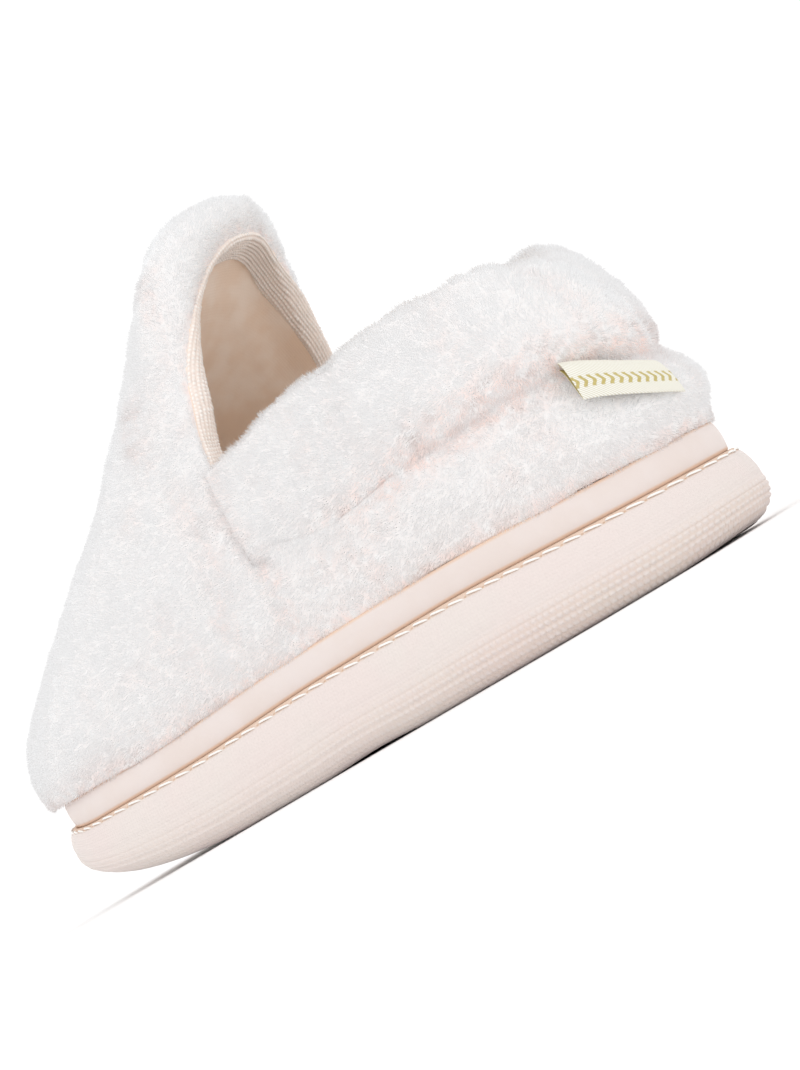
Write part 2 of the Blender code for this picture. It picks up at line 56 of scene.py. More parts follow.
# the last, in millimetres: x from heel to toe, y to the wearer's left, z up from the floor
last = {
    "middle": (131.45, -3.38, 0.0),     # where the frame's origin lies
    "outline": ((-1.1, 2.6), (8.5, 27.0), (37.5, 42.9), (83.3, 44.6), (132.8, 44.4), (182.6, 48.3),
                (224.0, 46.7), (249.9, 28.0), (261.2, 1.5), (249.7, -26.5), (221.7, -47.0),
                (178.5, -56.1), (128.6, -53.9), (80.4, -48.7), (37.0, -39.4), (9.6, -21.3)),
    "sideSeamX": 127.0,
    "topEdge": ((-5.0, 21.5), (15.0, 22.5), (40.0, 24.0), (83.0, 26.0),
                (130.0, 26.2), (183.0, 24.6), (222.0, 25.0), (262.0, 28.5)),
    "toeSpring": (18.0, 172.0, 90.0),   # rise, where it starts, run
    "heelRise": (2.5, 26.0),
    "waistRise": (0.8, 104.0, 150.0),   # rise, from, to
    "gap": 0.3,
    "bandHeight": 9.2,
    "rollHeight": 3.5,
    "wall": 7.0,
    "lastedOut": -7.5,
    "lastedIn": -10.5,
    "ridgeY": -3.5,
    # share from heel back to side seam, fleece out, ridge x, ridge height, lining ridge, roundness, sweep
    "quarter": ((0.00, -1.8, 74.0, 170.0, 158.0, 1.36, 1.0),
                (0.30, -2.6, 75.0, 170.0, 158.0, 1.75, 1.0),
                (0.60, -3.2, 83.0, 168.0, 155.0, 2.25, 1.4),
                (1.00, -3.2, 101.0, 164.0, 150.5, 2.80, 2.0)),
    # share from side seam to toe, fleece out, ridge x, roundness, sweep
    "vamp": ((0.00, -3.2, 101.0, 2.80, 2.0),
             (0.25, -2.4, 139.0, 2.60, 1.9),
             (0.50, -1.2, 175.0, 2.40, 1.6),
             (0.75, 0.8, 203.0, 2.20, 1.2),
             (1.00, 2.8, 216.0, 2.20, 1.0)),
    "slopeEase": 0.2,         # share of the vamp over which its columns begin to lean with the ridge
    # ridge x, fleece height, lining height
    "ridge": ((101.0, 164.0, 150.5), (111.0, 166.0, 149.0), (126.0, 157.0, 140.5), (150.0, 135.5, 123.5),
              (175.0, 112.0, 102.5), (200.0, 94.5, 86.0), (218.0, 85.0, 77.0)),
    # share from heel back to side seam, collar seam height, topline height
    "seam": ((0.00, 56.0, 95.0), (0.12, 59.0, 98.0), (0.25, 63.0, 101.0),
             (0.55, 63.0, 103.0), (0.80, 60.0, 98.0), (1.00, 66.0, 94.0)),
}


def smoothColumn(table, column, at):
    rows = np.array(table, float)
    x, y = rows[:, 0], rows[:, column]
    at = np.clip(at, x[0], x[-1])
    step = np.diff(x)
    slope = np.diff(y) / step
    tangent = np.concatenate((slope[:1], np.zeros(len(x) - 2), slope[-1:]))
    for i in range(1, len(x) - 1):
        if slope[i - 1] * slope[i] > 0:
            tangent[i] = 2 * slope[i - 1] * slope[i] / (slope[i - 1] + slope[i])
    i = np.clip(np.searchsorted(x, at, side="right") - 1, 0, len(x) - 2)
    t = (at - x[i]) / step[i]
    return ((1 + 2 * t) * (1 - t) ** 2 * y[i] + t * (1 - t) ** 2 * step[i] * tangent[i]
            + t * t * (3 - 2 * t) * y[i + 1] + t * t * (t - 1) * step[i] * tangent[i + 1])


def closedCurve(points, count):
    p = np.array(points, float)
    n = len(p)
    h = np.linalg.norm(np.roll(p, -1, 0) - p, axis=1)
    a, b = np.zeros((n, n)), np.zeros((n, 2))
    for i in range(n):
        before, after = (i - 1) % n, (i + 1) % n
        a[i, before] += h[before]
        a[i, i] += 2 * (h[before] + h[i])
        a[i, after] += h[i]
        b[i] = 6 * ((p[after] - p[i]) / h[i] - (p[i] - p[before]) / h[before])
    bend = np.linalg.solve(a, b)
    knots = np.concatenate(([0], np.cumsum(h)))
    s = np.linspace(0, knots[-1], count, endpoint=False)
    i = np.clip(np.searchsorted(knots, s, side="right") - 1, 0, n - 1)
    j = (i + 1) % n
    t = ((s - knots[i]) / h[i])[:, None]
    hh = (h[i] ** 2)[:, None] / 6
    return (1 - t) * p[i] + t * p[j] + hh * (((1 - t) ** 3 - (1 - t)) * bend[i] + (t ** 3 - t) * bend[j])


def unit(vectors):
    return vectors / (np.linalg.norm(vectors, axis=-1)[..., None] + 1e-12)


def lineRun(line):   # length along a line, or along many side by side, at each point
    steps = np.linalg.norm(np.diff(line, axis=0), axis=-1)
    return np.concatenate((np.zeros_like(steps[:1]), np.cumsum(steps, 0)))


def onLine(at, run, line):   # points of a line at these lengths along it
    return np.stack([np.interp(at, run, line[:, k]) for k in range(line.shape[1])], -1)


def easeLine(line, times):   # rounds its corners, keeps its ends
    for _ in range(times):
        line[1:-1] = 0.25 * line[:-2] + 0.5 * line[1:-1] + 0.25 * line[2:]
    return line


def rampUp(value, low, high):
    t = np.clip((value - low) / (high - low), 0, 1)
    return t * t * (3 - 2 * t)


# the sole's fullest line: s runs from the heel back, along the wearer's left, round the toe
edge = closedCurve(last["outline"], 4000)
edgeRun = lineRun(np.vstack((edge, edge[:1])))
edgeWay = unit(np.roll(edge, -1, 0) - np.roll(edge, 1, 0))
girth = edgeRun[-1]
toe = edgeRun[np.argmax(edge[:, 0])]
leftSeam = edgeRun[np.argmax(edge[:2000, 0] > last["sideSeamX"])]
rightSeam = edgeRun[len(edge) - 1 - np.argmax(edge[::-1][:1900, 0] > last["sideSeamX"])]


def around(values, s):
    return onLine(np.mod(s, girth), edgeRun, np.vstack((values, values[:1])))


def allRound(count):
    return np.linspace(0, girth, count, endpoint=False)


def outlineAt(s, out):   # a point that far out from the sole's fullest line
    way = around(edgeWay, s)
    out = np.broadcast_to(out, np.shape(s))[..., None]
    return around(edge, s) + out * np.stack((-way[..., 1], way[..., 0]), axis=-1)


def ledgeHeight(x):
    return smoothColumn(last["topEdge"], 1, x)


def overLedge(s, out, up):   # a ring that far out, that high over the stitch ledge
    p = outlineAt(s, out)
    return np.column_stack((p, ledgeHeight(p[:, 0]) + up))


def treadHeight(x):
    rise, start, length = last["toeSpring"]
    heel, heelRun = last["heelRise"]
    waist, waistFrom, waistTo = last["waistRise"]
    return (rise * np.clip((x - start) / length, 0, None) ** 2
            + heel * np.clip((heelRun - x) / heelRun, 0, None) ** 2
            + waist * np.sin(math.pi * np.clip((x - waistFrom) / (waistTo - waistFrom), 0, 1)) ** 2)


def seamShares(s):   # share of the quarter, share of the vamp, and which of the two it is
    left = s <= toe
    seam = np.where(left, leftSeam, rightSeam)
    heelEnd = np.where(left, 0.0, girth)
    quarter = np.abs(s - heelEnd) / np.abs(seam - heelEnd)
    onVamp = quarter > 1.0
    vamp = np.where(onVamp, np.abs(s - seam) / np.abs(toe - seam), 0.0)
    return np.where(onVamp, 1.0, quarter), vamp, onVamp


def lastColumn(shares, vampColumn, quarterColumn):
    quarter, vamp, onVamp = shares
    return np.where(onVamp, smoothColumn(last["vamp"], vampColumn, vamp),
                    smoothColumn(last["quarter"], quarterColumn, quarter))


def lastPoints(s, angle, inner=False):   # a column of the last, an arch from the fleece's foot to the ridge
    shares = seamShares(s)
    quarter, vamp, onVamp = shares

    def ridgeHeight(x):
        return smoothColumn(last["ridge"], 2 if inner else 1, x)

    out, ridgeX = lastColumn(shares, 1, 1), lastColumn(shares, 2, 2)
    power, sweep = lastColumn(shares, 3, 5), lastColumn(shares, 4, 6)
    ridgeZ = np.where(onVamp, ridgeHeight(ridgeX), smoothColumn(last["quarter"], 4 if inner else 3, quarter))
    fall = (ridgeHeight(ridgeX - 1.5) - ridgeHeight(ridgeX + 1.5)) / 3
    slope = np.where(onVamp, fall * np.clip(vamp / last["slopeEase"], 0, 1), 0.0)
    footX = outlineAt(s, last["lastedOut"])[..., 0]
    footZ = ledgeHeight(footX) + last["gap"] + last["bandHeight"] + last["rollHeight"]
    if inner:
        out = np.minimum(out - last["wall"], last["lastedIn"] + 1.0)
    foot = outlineAt(s, out)
    low = np.maximum(np.cos(angle), 0.0) ** (2 / power)
    high = np.maximum(np.sin(angle), 0.0) ** (2 / power)
    back = low ** sweep
    dx, dy = foot[..., 0] - ridgeX, foot[..., 1] - last["ridgeY"]
    z = footZ + (ridgeZ - footZ - slope * dx) * high + slope * dx * (1 - back)
    return np.stack((ridgeX + dx * back, last["ridgeY"] + dy * low, z), axis=-1)


def anglesAt(s, heights, inner=False):   # heights: one row of them for each column in s
    steps = np.linspace(0, math.pi / 2, 500)
    s = np.repeat(np.asarray(s)[:, None], len(steps), 1)
    columns = lastPoints(s, np.broadcast_to(steps, s.shape), inner)[..., 2]
    return np.array([np.interp(h, column, steps) for h, column in zip(heights, columns)])


def surfaceFrame(s, angle):   # points of the fleece side and the way out of it
    along = lastPoints(s + 0.5, angle) - lastPoints(s - 0.5, angle)
    upward = lastPoints(s, angle + 0.01) - lastPoints(s, angle - 0.01)
    return lastPoints(s, angle), unit(np.cross(upward, along))


def wayAlong(s):   # -1 at the heel back, 0 at the side seam, 1 at the toe
    quarter, vamp, onVamp = seamShares(s)
    return np.where(onVamp, vamp, quarter - 1)


def stationAt(way, side):   # side 1 is the wearer's left, -1 the right
    seam, heelEnd = (leftSeam, 0.0) if side > 0 else (rightSeam, girth)
    way = np.asarray(way, float)
    return np.where(way < 0, heelEnd + (1 + way) * (seam - heelEnd), seam + way * (toe - seam))


# small mesh kit
def place(points):
    return (np.asarray(points, float) - last["middle"]) * 0.001


def gridFaces(index):
    return np.stack((index[:-1, :-1], index[:-1, 1:], index[1:, 1:], index[1:, :-1]), -1).reshape(-1, 4)


def wrapped(index):   # its last column joins its first
    return np.column_stack((index, index[:, 0]))


def closedIndex(rows, columns, start=0):
    return wrapped(np.arange(rows * columns).reshape(rows, columns) + start)


def hoopFaces(index):   # the last row joins the first too
    return np.vstack((gridFaces(index), gridFaces(np.vstack((index[-1:], index[:1])))))


def tubeFaces(count, rings, sides):   # tubes one after another, closed at both ends
    faces = []
    for k in range(count):
        index = closedIndex(rings, sides, k * rings * sides)
        faces += gridFaces(index).tolist()
        faces += [index[0, :-1][::-1].tolist(), index[-1, :-1].tolist()]
    return faces


def capFaces(ring):   # strips across a flat ring
    n = len(ring)
    faces = [[ring[i], ring[i + 1], ring[n - i - 1], ring[n - i]] for i in range(1, n // 2 - 1)]
    return faces + [[ring[0], ring[1], ring[-1]], ring[n // 2 - 1:n // 2 + 2]]


def addRows(points, rows):   # adds rows to a list of points, gives their numbers in the same layout
    first = sum(len(p) for p in points)
    points.append(rows.reshape(-1, 3))
    return np.arange(rows.size // 3).reshape(rows.shape[:-1]) + first


def vertexNormals(points, quads):
    n = np.zeros_like(points)
    face = np.cross(points[quads[:, 2]] - points[quads[:, 0]], points[quads[:, 3]] - points[quads[:, 1]])
    for k in range(4):
        np.add.at(n, quads[:, k], face)
    return unit(n)


def softNoise(points, size, seed):   # -1 to 1, one bump about every size
    lattice = np.random.default_rng(seed).uniform(-1, 1, (64, 64, 64))
    q = np.asarray(points) / size + 31.7
    cell = np.floor(q).astype(int)
    t = q - cell
    t = t * t * (3 - 2 * t)
    total = 0.0
    for corner in np.ndindex(2, 2, 2):
        x, y, z = np.moveaxis((cell + corner) & 63, -1, 0)
        wx, wy, wz = np.moveaxis(np.where(corner, t, 1 - t), -1, 0)
        total = total + wx * wy * wz * lattice[x, y, z]
    return total


def wander(points, sizeAndReach, seed):
    size, reach = sizeAndReach
    return reach * softNoise(points, size, seed)


def nearLine(points, line):   # distance from a bent line
    best = np.full(len(points), 1e9)
    for a, b in zip(line[:-1], line[1:]):
        t = np.clip(((points - a) @ (b - a)) / max((b - a) @ (b - a), 1e-9), 0, 1)
        best = np.minimum(best, np.linalg.norm(points - a - t[:, None] * (b - a), axis=1))
    return best


def addTones(mesh, tones):   # numbers at each point that a finish can read
    for tone, values in tones.items():
        mesh.attributes.new(tone, "FLOAT", "POINT").data.foreach_set("value", np.asarray(values, np.float32))


def putIn(name, data):
    thing = bpy.data.objects.new(name, data)
    bpy.context.scene.collection.objects.link(thing)
    return thing


def settle(name, mesh):
    piece = putIn(name, mesh)
    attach(piece, "root")
    return piece


def addPiece(name, points, faces, finishes, replaced=None, tones=None, faceFinish=None, sharp=None):
    mesh = bpy.data.meshes.new(name)
    mesh.from_pydata(place(points).tolist(), [], faces if isinstance(faces, list) else faces.tolist())
    for finish in finishes:
        mesh.materials.append(finish.material)
    if faceFinish is not None:
        mesh.polygons.foreach_set("material_index", np.asarray(faceFinish, np.int32))
    addTones(mesh, tones or {})
    mesh.shade_smooth()
    if sharp:
        mesh.set_sharp_from_angle(angle=math.radians(sharp))
    mesh.validate()
    piece = settle(name, mesh)
    if replaced:
        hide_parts(replaced)
    return piece


def facing(piece, weld=0.0):   # joins points closer than weld, turns all faces outward
    body = bmesh.new()
    body.from_mesh(piece.data)
    if weld:
        bmesh.ops.remove_doubles(body, verts=body.verts, dist=weld)
    bmesh.ops.recalc_face_normals(body, faces=body.faces)
    body.to_mesh(piece.data)
    body.free()
    return piece


# shader maths: a socket that adds Math nodes when it is used in an expression
class Sock:
    def __init__(self, finish, socket):
        self.finish = finish
        self.socket = socket

    def maths(self, kind, a, b):
        return self.finish.node("ShaderNodeMath", {"operation": kind}, {0: a, 1: b})

    def __add__(self, other):
        return self.maths("ADD", self, other)

    def __sub__(self, other):
        return self.maths("SUBTRACT", self, other)

    def __rsub__(self, other):
        return self.maths("SUBTRACT", other, self)

    def __mul__(self, other):
        return self.maths("MULTIPLY", self, other)

    __radd__ = __add__
    __rmul__ = __mul__


class Finish:
    def __init__(self, name, plain):
        self.material = bpy.data.materials.new(name)
        self.material.use_nodes = True
        self.tree = self.material.node_tree
        self.shader = self.tree.nodes["Principled BSDF"]
        for socket, value in plain.items():
            self.shader.inputs[socket].default_value = value

    def node(self, kind, settings=None, sockets=None, out=0):
        made = self.tree.nodes.new(kind)
        for key, value in (settings or {}).items():
            setattr(made, key, value)
        for key, value in (sockets or {}).items():
            self.feed(made.inputs[key], value)
        return Sock(self, made.outputs[out])

    def feed(self, socket, value):
        if isinstance(value, Sock):
            self.tree.links.new(value.socket, socket)
        else:
            socket.default_value = value

    def give(self, socket, value):
        self.feed(self.shader.inputs[socket], value)

    def letThrough(self, share, shade):   # a thin fibre takes light from both its sides
        flat = self.node("ShaderNodeNewGeometry", out="True Normal")
        self.give("Normal", flat)
        thin = self.node("ShaderNodeBsdfTranslucent", None, {"Color": shade, "Normal": flat})
        front = Sock(self, self.shader.outputs[0])
        both = self.node("ShaderNodeMixShader", None, {0: share, 1: front, 2: thin})
        self.feed(self.tree.nodes["Material Output"].inputs["Surface"], both)

    def place(self):
        return self.node("ShaderNodeTexCoord", out="Object")

    def axes(self, vector):
        parts = self.node("ShaderNodeSeparateXYZ", None, {0: vector})
        return [Sock(self, parts.socket.node.outputs[k]) for k in range(3)]

    def tone(self, name):
        return self.node("ShaderNodeAttribute", {"attribute_name": name}, out="Fac")

    def noise(self, scale, detail=2.0, rough=0.5):
        return self.node("ShaderNodeTexNoise", None, {"Vector": self.place(), "Scale": scale,
                                                      "Detail": detail, "Roughness": rough}, "Fac")

    def mix(self, a, b, share):
        return self.node("ShaderNodeMix", {"data_type": "RGBA"}, {0: share, 6: a, 7: b}, 2)

    def between(self, value, low, high):   # 0 at low, 1 at high
        return self.node("ShaderNodeMapRange", {"interpolation_type": "SMOOTHSTEP"},
                         {"Value": value, "From Min": low, "From Max": high})

    def blend(self, a, b, value, low, high):   # colour a at low, b at high
        return self.mix(a, b, self.between(value, low, high))

    def sine(self, value):
        return self.node("ShaderNodeMath", {"operation": "SINE"}, {0: value})

    def size(self, value):
        return self.node("ShaderNodeMath", {"operation": "ABSOLUTE"}, {0: value})

    def bump(self, height, strength, distance):
        self.give("Normal", self.node("ShaderNodeBump", None, {"Height": height, "Strength": strength,
                                                               "Distance": distance}))


def colour(r, g, b):
    return (r, g, b, 1.0)


# fleece: short white pile over a blush knit back
fleece = {
    "tip": colour(0.865, 0.872, 0.88),
    "root": colour(0.85, 0.845, 0.845),
    # pink of the knit back where it shows through, and painted pink shade in creases, under the collar and
    # along the band
    "knitPinkAndShade": colour(0.82, 0.64, 0.59),
    "back": colour(0.785, 0.758, 0.75),
    "backLight": colour(0.815, 0.80, 0.795),
    "roughness": 0.95,
    "sheen": 0.15,
    "shine": 0.1,
    "through": 0.8,            # share of the light that passes a hair
    "tintAtTip": 0.4,          # share of the blush left at a hair's tip
    "throughLost": 0.7,        # share of that light lost where it is blushed
    "perSquare": 8.0,          # hairs to the square millimetre
    "length": (1.7, 3.3),
    "lengthWander": (5.0, 0.2),     # size, share
    "width": 0.27,
    "widthSpread": (0.7, 1.2),
    "rootDepth": 0.3,
    "stand": 0.62,
    "standWander": (4.0, 0.35),
    "standLoose": 0.12,
    "lay": 0.58,
    "swirl": 1.4,
    "swirlSizes": (12.0, 3.6),
    "swirlLoose": 0.9,
    "clumpEvery": 3.2,
    "clumpPull": 0.3,
    "pullSpread": (0.3, 1.2),
    "clumpTip": 1.08,
    "evenLight": 0.65,         # share of the plain form, without its lumps, in how a hair is lit
    "lightLoose": 0.05,
    "speckBlush": (0.2, 1.3),  # blush between specks, and what a speck adds
    "blushSpread": (0.7, 1.2),
    "patches": (13.0, 0.5),    # thin places: size, blush
    "mostInPiece": 150000,
    "seed": 23,
}


def fleeceBack():
    f = Finish("fleeceBack", {"Roughness": fleece["roughness"], "Sheen Weight": fleece["sheen"]})
    tufts = f.noise(420.0, detail=3.0, rough=0.6)
    shade = f.blend(fleece["back"], fleece["backLight"], tufts, 0.35, 0.75)
    # where the blush tone is high: the knit back's pink, and painted pink shade in creases and seams
    showingAndShade = f.tone("blush") * f.between(f.noise(330.0), 0.3, 0.7)
    f.give("Base Color", f.mix(shade, fleece["knitPinkAndShade"], showingAndShade))
    f.bump(tufts + 0.4 * f.noise(1600.0, rough=0.6), strength=0.3, distance=0.0005)
    return f


def pileFinish():
    f = Finish("fleecePile", {"Roughness": fleece["roughness"], "Specular IOR Level": fleece["shine"]})
    rise = f.tone("rise")
    # hairs a little darker and pinker at the root: painted shade deep in the pile
    shade = f.blend(fleece["root"], fleece["tip"], rise, 0.0, 0.45)
    # blush tint on the hairs, painted pink shade where it marks creases and seams, less of it toward the tip
    tint = f.tone("blush") * (1 - (1 - fleece["tintAtTip"]) * rise)
    f.give("Base Color", f.mix(shade, fleece["knitPinkAndShade"], tint))
    f.letThrough(fleece["through"] * (1 - fleece["throughLost"] * tint), fleece["tip"])
    return f


def specksAt(points):   # short streaks along the foot where the knit back shows through
    long = points * (0.5, 1.0, 1.0)
    return rampUp(softNoise(long, 2.0, 41) + 0.8 * softNoise(long, 5.0, 42), -0.1, 0.75)


def patchesAt(points, seed):
    size, blush = fleece["patches"]
    return blush * rampUp(softNoise(points, size, seed), 0.1, 0.8)


def lumpsAt(points, lumps, seed):
    return sum(wander(points, lump, seed + k) for k, lump in enumerate(lumps))


def scatterRoots(surface, rng):   # hair roots spread evenly, and what the surface says at each
    points, quads = surface["points"], surface["quads"]
    tris = np.vstack((quads[:, [0, 1, 2]], quads[:, [0, 2, 3]]))
    corner = points[tris]
    across = np.cross(corner[:, 1] - corner[:, 0], corner[:, 2] - corner[:, 0])
    total = np.cumsum(np.linalg.norm(across, axis=1) / 2)
    count = int(total[-1] * fleece["perSquare"])
    on = tris[np.searchsorted(total, rng.random(count) * total[-1])]
    u, v = rng.random((2, count))
    over = u + v > 1
    u, v = np.where(over, 1 - u, u), np.where(over, 1 - v, v)
    weights = np.stack((1 - u - v, u, v), -1)[..., None]
    roots = {key: (surface[key].reshape(len(points), -1)[on] * weights).sum(1)
             for key in ("points", "normals", "even", "nap", "blush", "pileShare")}
    roots["normals"] = unit(roots["normals"])
    return roots, total[-1]


def combTips(roots, area, rng):
    root, n = roots["points"], roots["normals"]
    count = len(root)

    # hairs lie along the nap, which wanders
    way = unit(roots["nap"] - (roots["nap"] * n).sum(1)[:, None] * n)
    wide, narrow = fleece["swirlSizes"]
    turn = 0.5 * softNoise(root, wide, 5) + 0.5 * softNoise(root, narrow, 6)
    turn = fleece["swirl"] * (turn + rng.normal(0, fleece["swirlLoose"], count))
    way = way * np.cos(turn)[:, None] + np.cross(n, way) * np.sin(turn)[:, None]
    stand = fleece["stand"] * (1 + wander(root, fleece["standWander"], 7))
    stand = stand + rng.normal(0, fleece["standLoose"], count)
    length = rng.uniform(*fleece["length"], count) * roots["pileShare"][:, 0]
    length = length * (1 + wander(root, fleece["lengthWander"], 8))
    reach = (n * stand[:, None] + way * fleece["lay"]) * length[:, None]

    # tufts: each hair's tip is drawn to its tuft's tip
    tuft = rng.choice(count, int(area / fleece["clumpEvery"] ** 2), replace=False)
    tree = kdtree.KDTree(len(tuft))
    for k, t in enumerate(tuft):
        tree.insert(root[t], k)
    tree.balance()
    mine = tuft[[tree.find(p)[1] for p in root]]
    tip = root + reach
    pull = fleece["clumpPull"] * rng.uniform(*fleece["pullSpread"], count)
    return tip + pull[:, None] * (root[mine] + reach[mine] * fleece["clumpTip"] - tip)


def hairPiece(name, hairs, lit, blush, finish):   # a triangle for each hair
    count = len(hairs)
    mesh = bpy.data.meshes.new(name)
    mesh.vertices.add(3 * count)
    mesh.vertices.foreach_set("co", place(hairs.reshape(-1, 3)).astype(np.float32).ravel())
    mesh.loops.add(3 * count)
    mesh.loops.foreach_set("vertex_index", np.arange(3 * count, dtype=np.int32))
    mesh.polygons.add(count)
    mesh.polygons.foreach_set("loop_start", 3 * np.arange(count, dtype=np.int32))
    mesh.update(calc_edges=True)
    tones = {"rise": np.tile((0.0, 0.0, 1.0), count), "blush": np.repeat(blush, 3)}
    addTones(mesh, tones)
    flat = mesh.uv_layers.new(name="OFBake")   # blush across, root to tip up
    spots = 0.02 + 0.96 * np.column_stack((tones["blush"], tones["rise"]))
    flat.data.foreach_set("uv", spots.astype(np.float32).ravel())
    mesh.shade_smooth()
    mesh.normals_split_custom_set_from_vertices(np.repeat(lit, 3, 0))
    mesh.materials.append(finish.material)
    piece = settle(name, mesh)
    piece.visible_shadow = False   # light passes white fibres
    piece.visible_diffuse = False
    piece.visible_transmission = False


def growPile(name, surface, finish, seed):
    rng = np.random.default_rng(seed)
    roots, area = scatterRoots(surface, rng)
    tip = combTips(roots, area, rng)
    root, n = roots["points"], roots["normals"]
    count = len(root)
    half = fleece["width"] / 2 * rng.uniform(*fleece["widthSpread"], count)
    across = unit(np.cross(tip - root, n)) * half[:, None]
    start = root - fleece["rootDepth"] * n
    hairs = np.stack((start - across, start + across, tip), 1)
    lit = n + fleece["evenLight"] * (roots["even"] - n)
    lit = unit(lit + rng.normal(0, fleece["lightLoose"], (count, 3)))
    plain, speck = fleece["speckBlush"]
    blush = roots["blush"][:, 0] * (plain + speck * specksAt(root))
    blush = np.clip(blush * rng.uniform(*fleece["blushSpread"], count), 0, 1)
    parts = math.ceil(count / fleece["mostInPiece"])
    for k, here in enumerate(np.array_split(np.argsort(root[:, 0]), parts)):
        hairPiece(name if parts == 1 else f"{name}{k + 1}", hairs[here], lit[here], blush[here], finish)
    print("pile", name, "hairs", count, "area mm2", int(area))


# creases in the fleece, on both sides: way along the foot and height at each point, width, depth, painted
# pink shade
creases = (
    (((0.0, 90), (0.015, 80), (0.0, 66), (-0.01, 56), (0.005, 46), (0.0, 38)), 3.2, 1.1, 0.60),
    (((0.09, 90), (0.07, 76), (0.10, 62)), 5.0, 0.7, 0.35),
    (((0.24, 62), (0.21, 42)), 5.0, 0.6, 0.30),
    (((-0.66, 57), (-0.64, 45)), 6.0, 0.6, 0.30),
    (((-0.30, 58), (-0.22, 50), (-0.12, 52)), 5.0, 0.8, 0.35),
    (((0.02, 128), (0.10, 118)), 6.0, 0.5, 0.20),
)


def foldsAt(points):   # how deep the creases press, and how much painted pink shade they get
    press, blush = np.zeros(len(points)), np.zeros(len(points))
    for line, width, depth, tint in creases:
        way, height = np.array(line, float).T
        for side in (1, -1):
            s = stationAt(way, side)
            d = nearLine(points, lastPoints(s, anglesAt(s, height))) / width
            press += depth * (np.exp(-d ** 2) - 0.35 * np.exp(-(d - 2.1) ** 2))
            blush = np.maximum(blush, tint * np.exp(-0.6 * d ** 2))
    return press, blush


# upper: vamp and quarters as one soft hollow wall
upper = {
    "quarterColumns": 84,
    "vampColumns": 84,
    "lowRows": 26,                  # up to the collar seam, all round
    "highRows": 70,                 # from there up, on the vamp only
    "toeSplit": 34.0,               # degrees up the arch where the low rows end at the toe
    # the quarter's top edge turns in under the collar, and stands up: how far, from what share of its height
    "seamTuck": (3.2, 0.72),
    "seamRise": (1.6, 0.8),
    "tuckEnds": (0.25, 0.6),        # shares of the quarter, from the side seam, over which each grows
    "riseEnds": (0.0, 0.04),
    "footTuck": (1.1, 8.0),         # the foot draws in to the band: how far, over what height
    "overBand": 0.15,
    # roll over the band: in from the fleece, up from the band, share of the wave, softness
    "footRoll": ((0.25, 1.9, 0.5, 0.8), (0.6, 0.3, 1.0, 0.5), (1.4, -0.6, 1.0, 0.2)),
    "footBehind": (3.4, -4.6, -0.1),   # in from the fleece, at least so far from the outline, up
    "liningFoot": -1.0,             # up from the band
    "footWave": (12.0, 0.9),        # size, height
    "footShade": (0.35, 0.55, 0.75, 0.9, 0.9),   # painted shade, from the fleece's foot to behind the band
    "rowShade": (0.28, 0.18, 0.08),     # painted shade fading over the next rows up
    "seamShade": (0.9, 5.0),        # painted shade under the collar: how much, over what height
    "seamShadeEnds": (0.08, 0.4),
    "lipSoft": 0.3,                 # share of the lip over which the lumps end at the binding
    "lipBlush": (0.6, 0.28),        # along the binding: how much, over what share of the lip
    "toePatches": (140.0, 190.0, 0.75),   # x from, to, share of the thin places lost toward the toe
    "lipRoll": 4.5,
    "lipWay": (-0.96, 0.0, 0.28),
    "lipRise": (8.0, 22.0),         # heights over the topline's end between which the roll grows full
    "lipSteps": 20,
    "bindingFrom": 7,               # rows up from the collar seam
    "bindingStart": (0.12, 0.93),   # share of the lip that is fleece, at the sides and at the top
    "bindingTurn": (116.0, 160.0),  # heights between which it changes
    "bindingReach": (0.4, 10.0, 14),    # rows of lining inside the lip: from, to, how many
    "plainLip": (10.0, 0.8),        # height over the collar seam without binding, share that is fleece
    "heelBulge": (3.2, 0.32, 34.5, 42.0, 58.0),   # out, share of the quarter, heights of foot, crest and end
    "lumps": ((26.0, 1.0), (9.0, 0.35), (3.6, 0.22)),   # size, height
    "lumpSeed": 60,
    "vampNap": (0.80, 0.0, -0.50),
    "quarterNap": (-0.25, 0.0, -0.75),
    "lipNap": (-0.75, 0.0, 0.35),
    "footPile": 0.75,               # share of the pile's length at the foot
    "lipPileLost": (0.45, 0.35),    # share of it lost along the binding, over what share of the lip
    "lining": colour(0.86, 0.68, 0.54),
    "liningLight": colour(0.92, 0.79, 0.68),
}


def liningFinish():
    f = Finish("knitLining", {"Roughness": 0.95, "Sheen Weight": 0.2})
    wide = f.noise(70.0, detail=3.0)
    f.give("Base Color", f.blend(upper["lining"], upper["liningLight"], wide, 0.35, 0.65))
    x, y, z = f.axes(f.place())
    loops = f.size(f.sine(x * 3600.0)) * 0.6 + f.size(f.sine((z + y) * 2900.0)) * 0.5
    f.bump(loops + f.noise(1500.0), strength=0.12, distance=0.0003)
    return f


def upperGrid():
    ends = (0.0, leftSeam, toe, rightSeam, girth)
    columns = [upper[key] for key in ("quarterColumns", "vampColumns", "vampColumns", "quarterColumns")]
    s = np.concatenate([np.linspace(a, b, n, endpoint=False) for a, b, n in zip(ends, ends[1:], columns)])
    left, right = columns[0], sum(columns[:3])
    quarter, vamp, onVamp = seamShares(s)
    quarter[[left, right]] = 1.0
    vamp[[left, right]] = 0.0
    return {"s": s, "left": left, "right": right, "shares": (quarter, vamp, onVamp),
            "seamZ": smoothColumn(last["seam"], 1, quarter) - last["gap"]}


def splitAngles(s, vamp, seamZ, inner):   # where the low rows end
    split = anglesAt(s, seamZ, inner)
    return split + (math.radians(upper["toeSplit"]) - split) * vamp


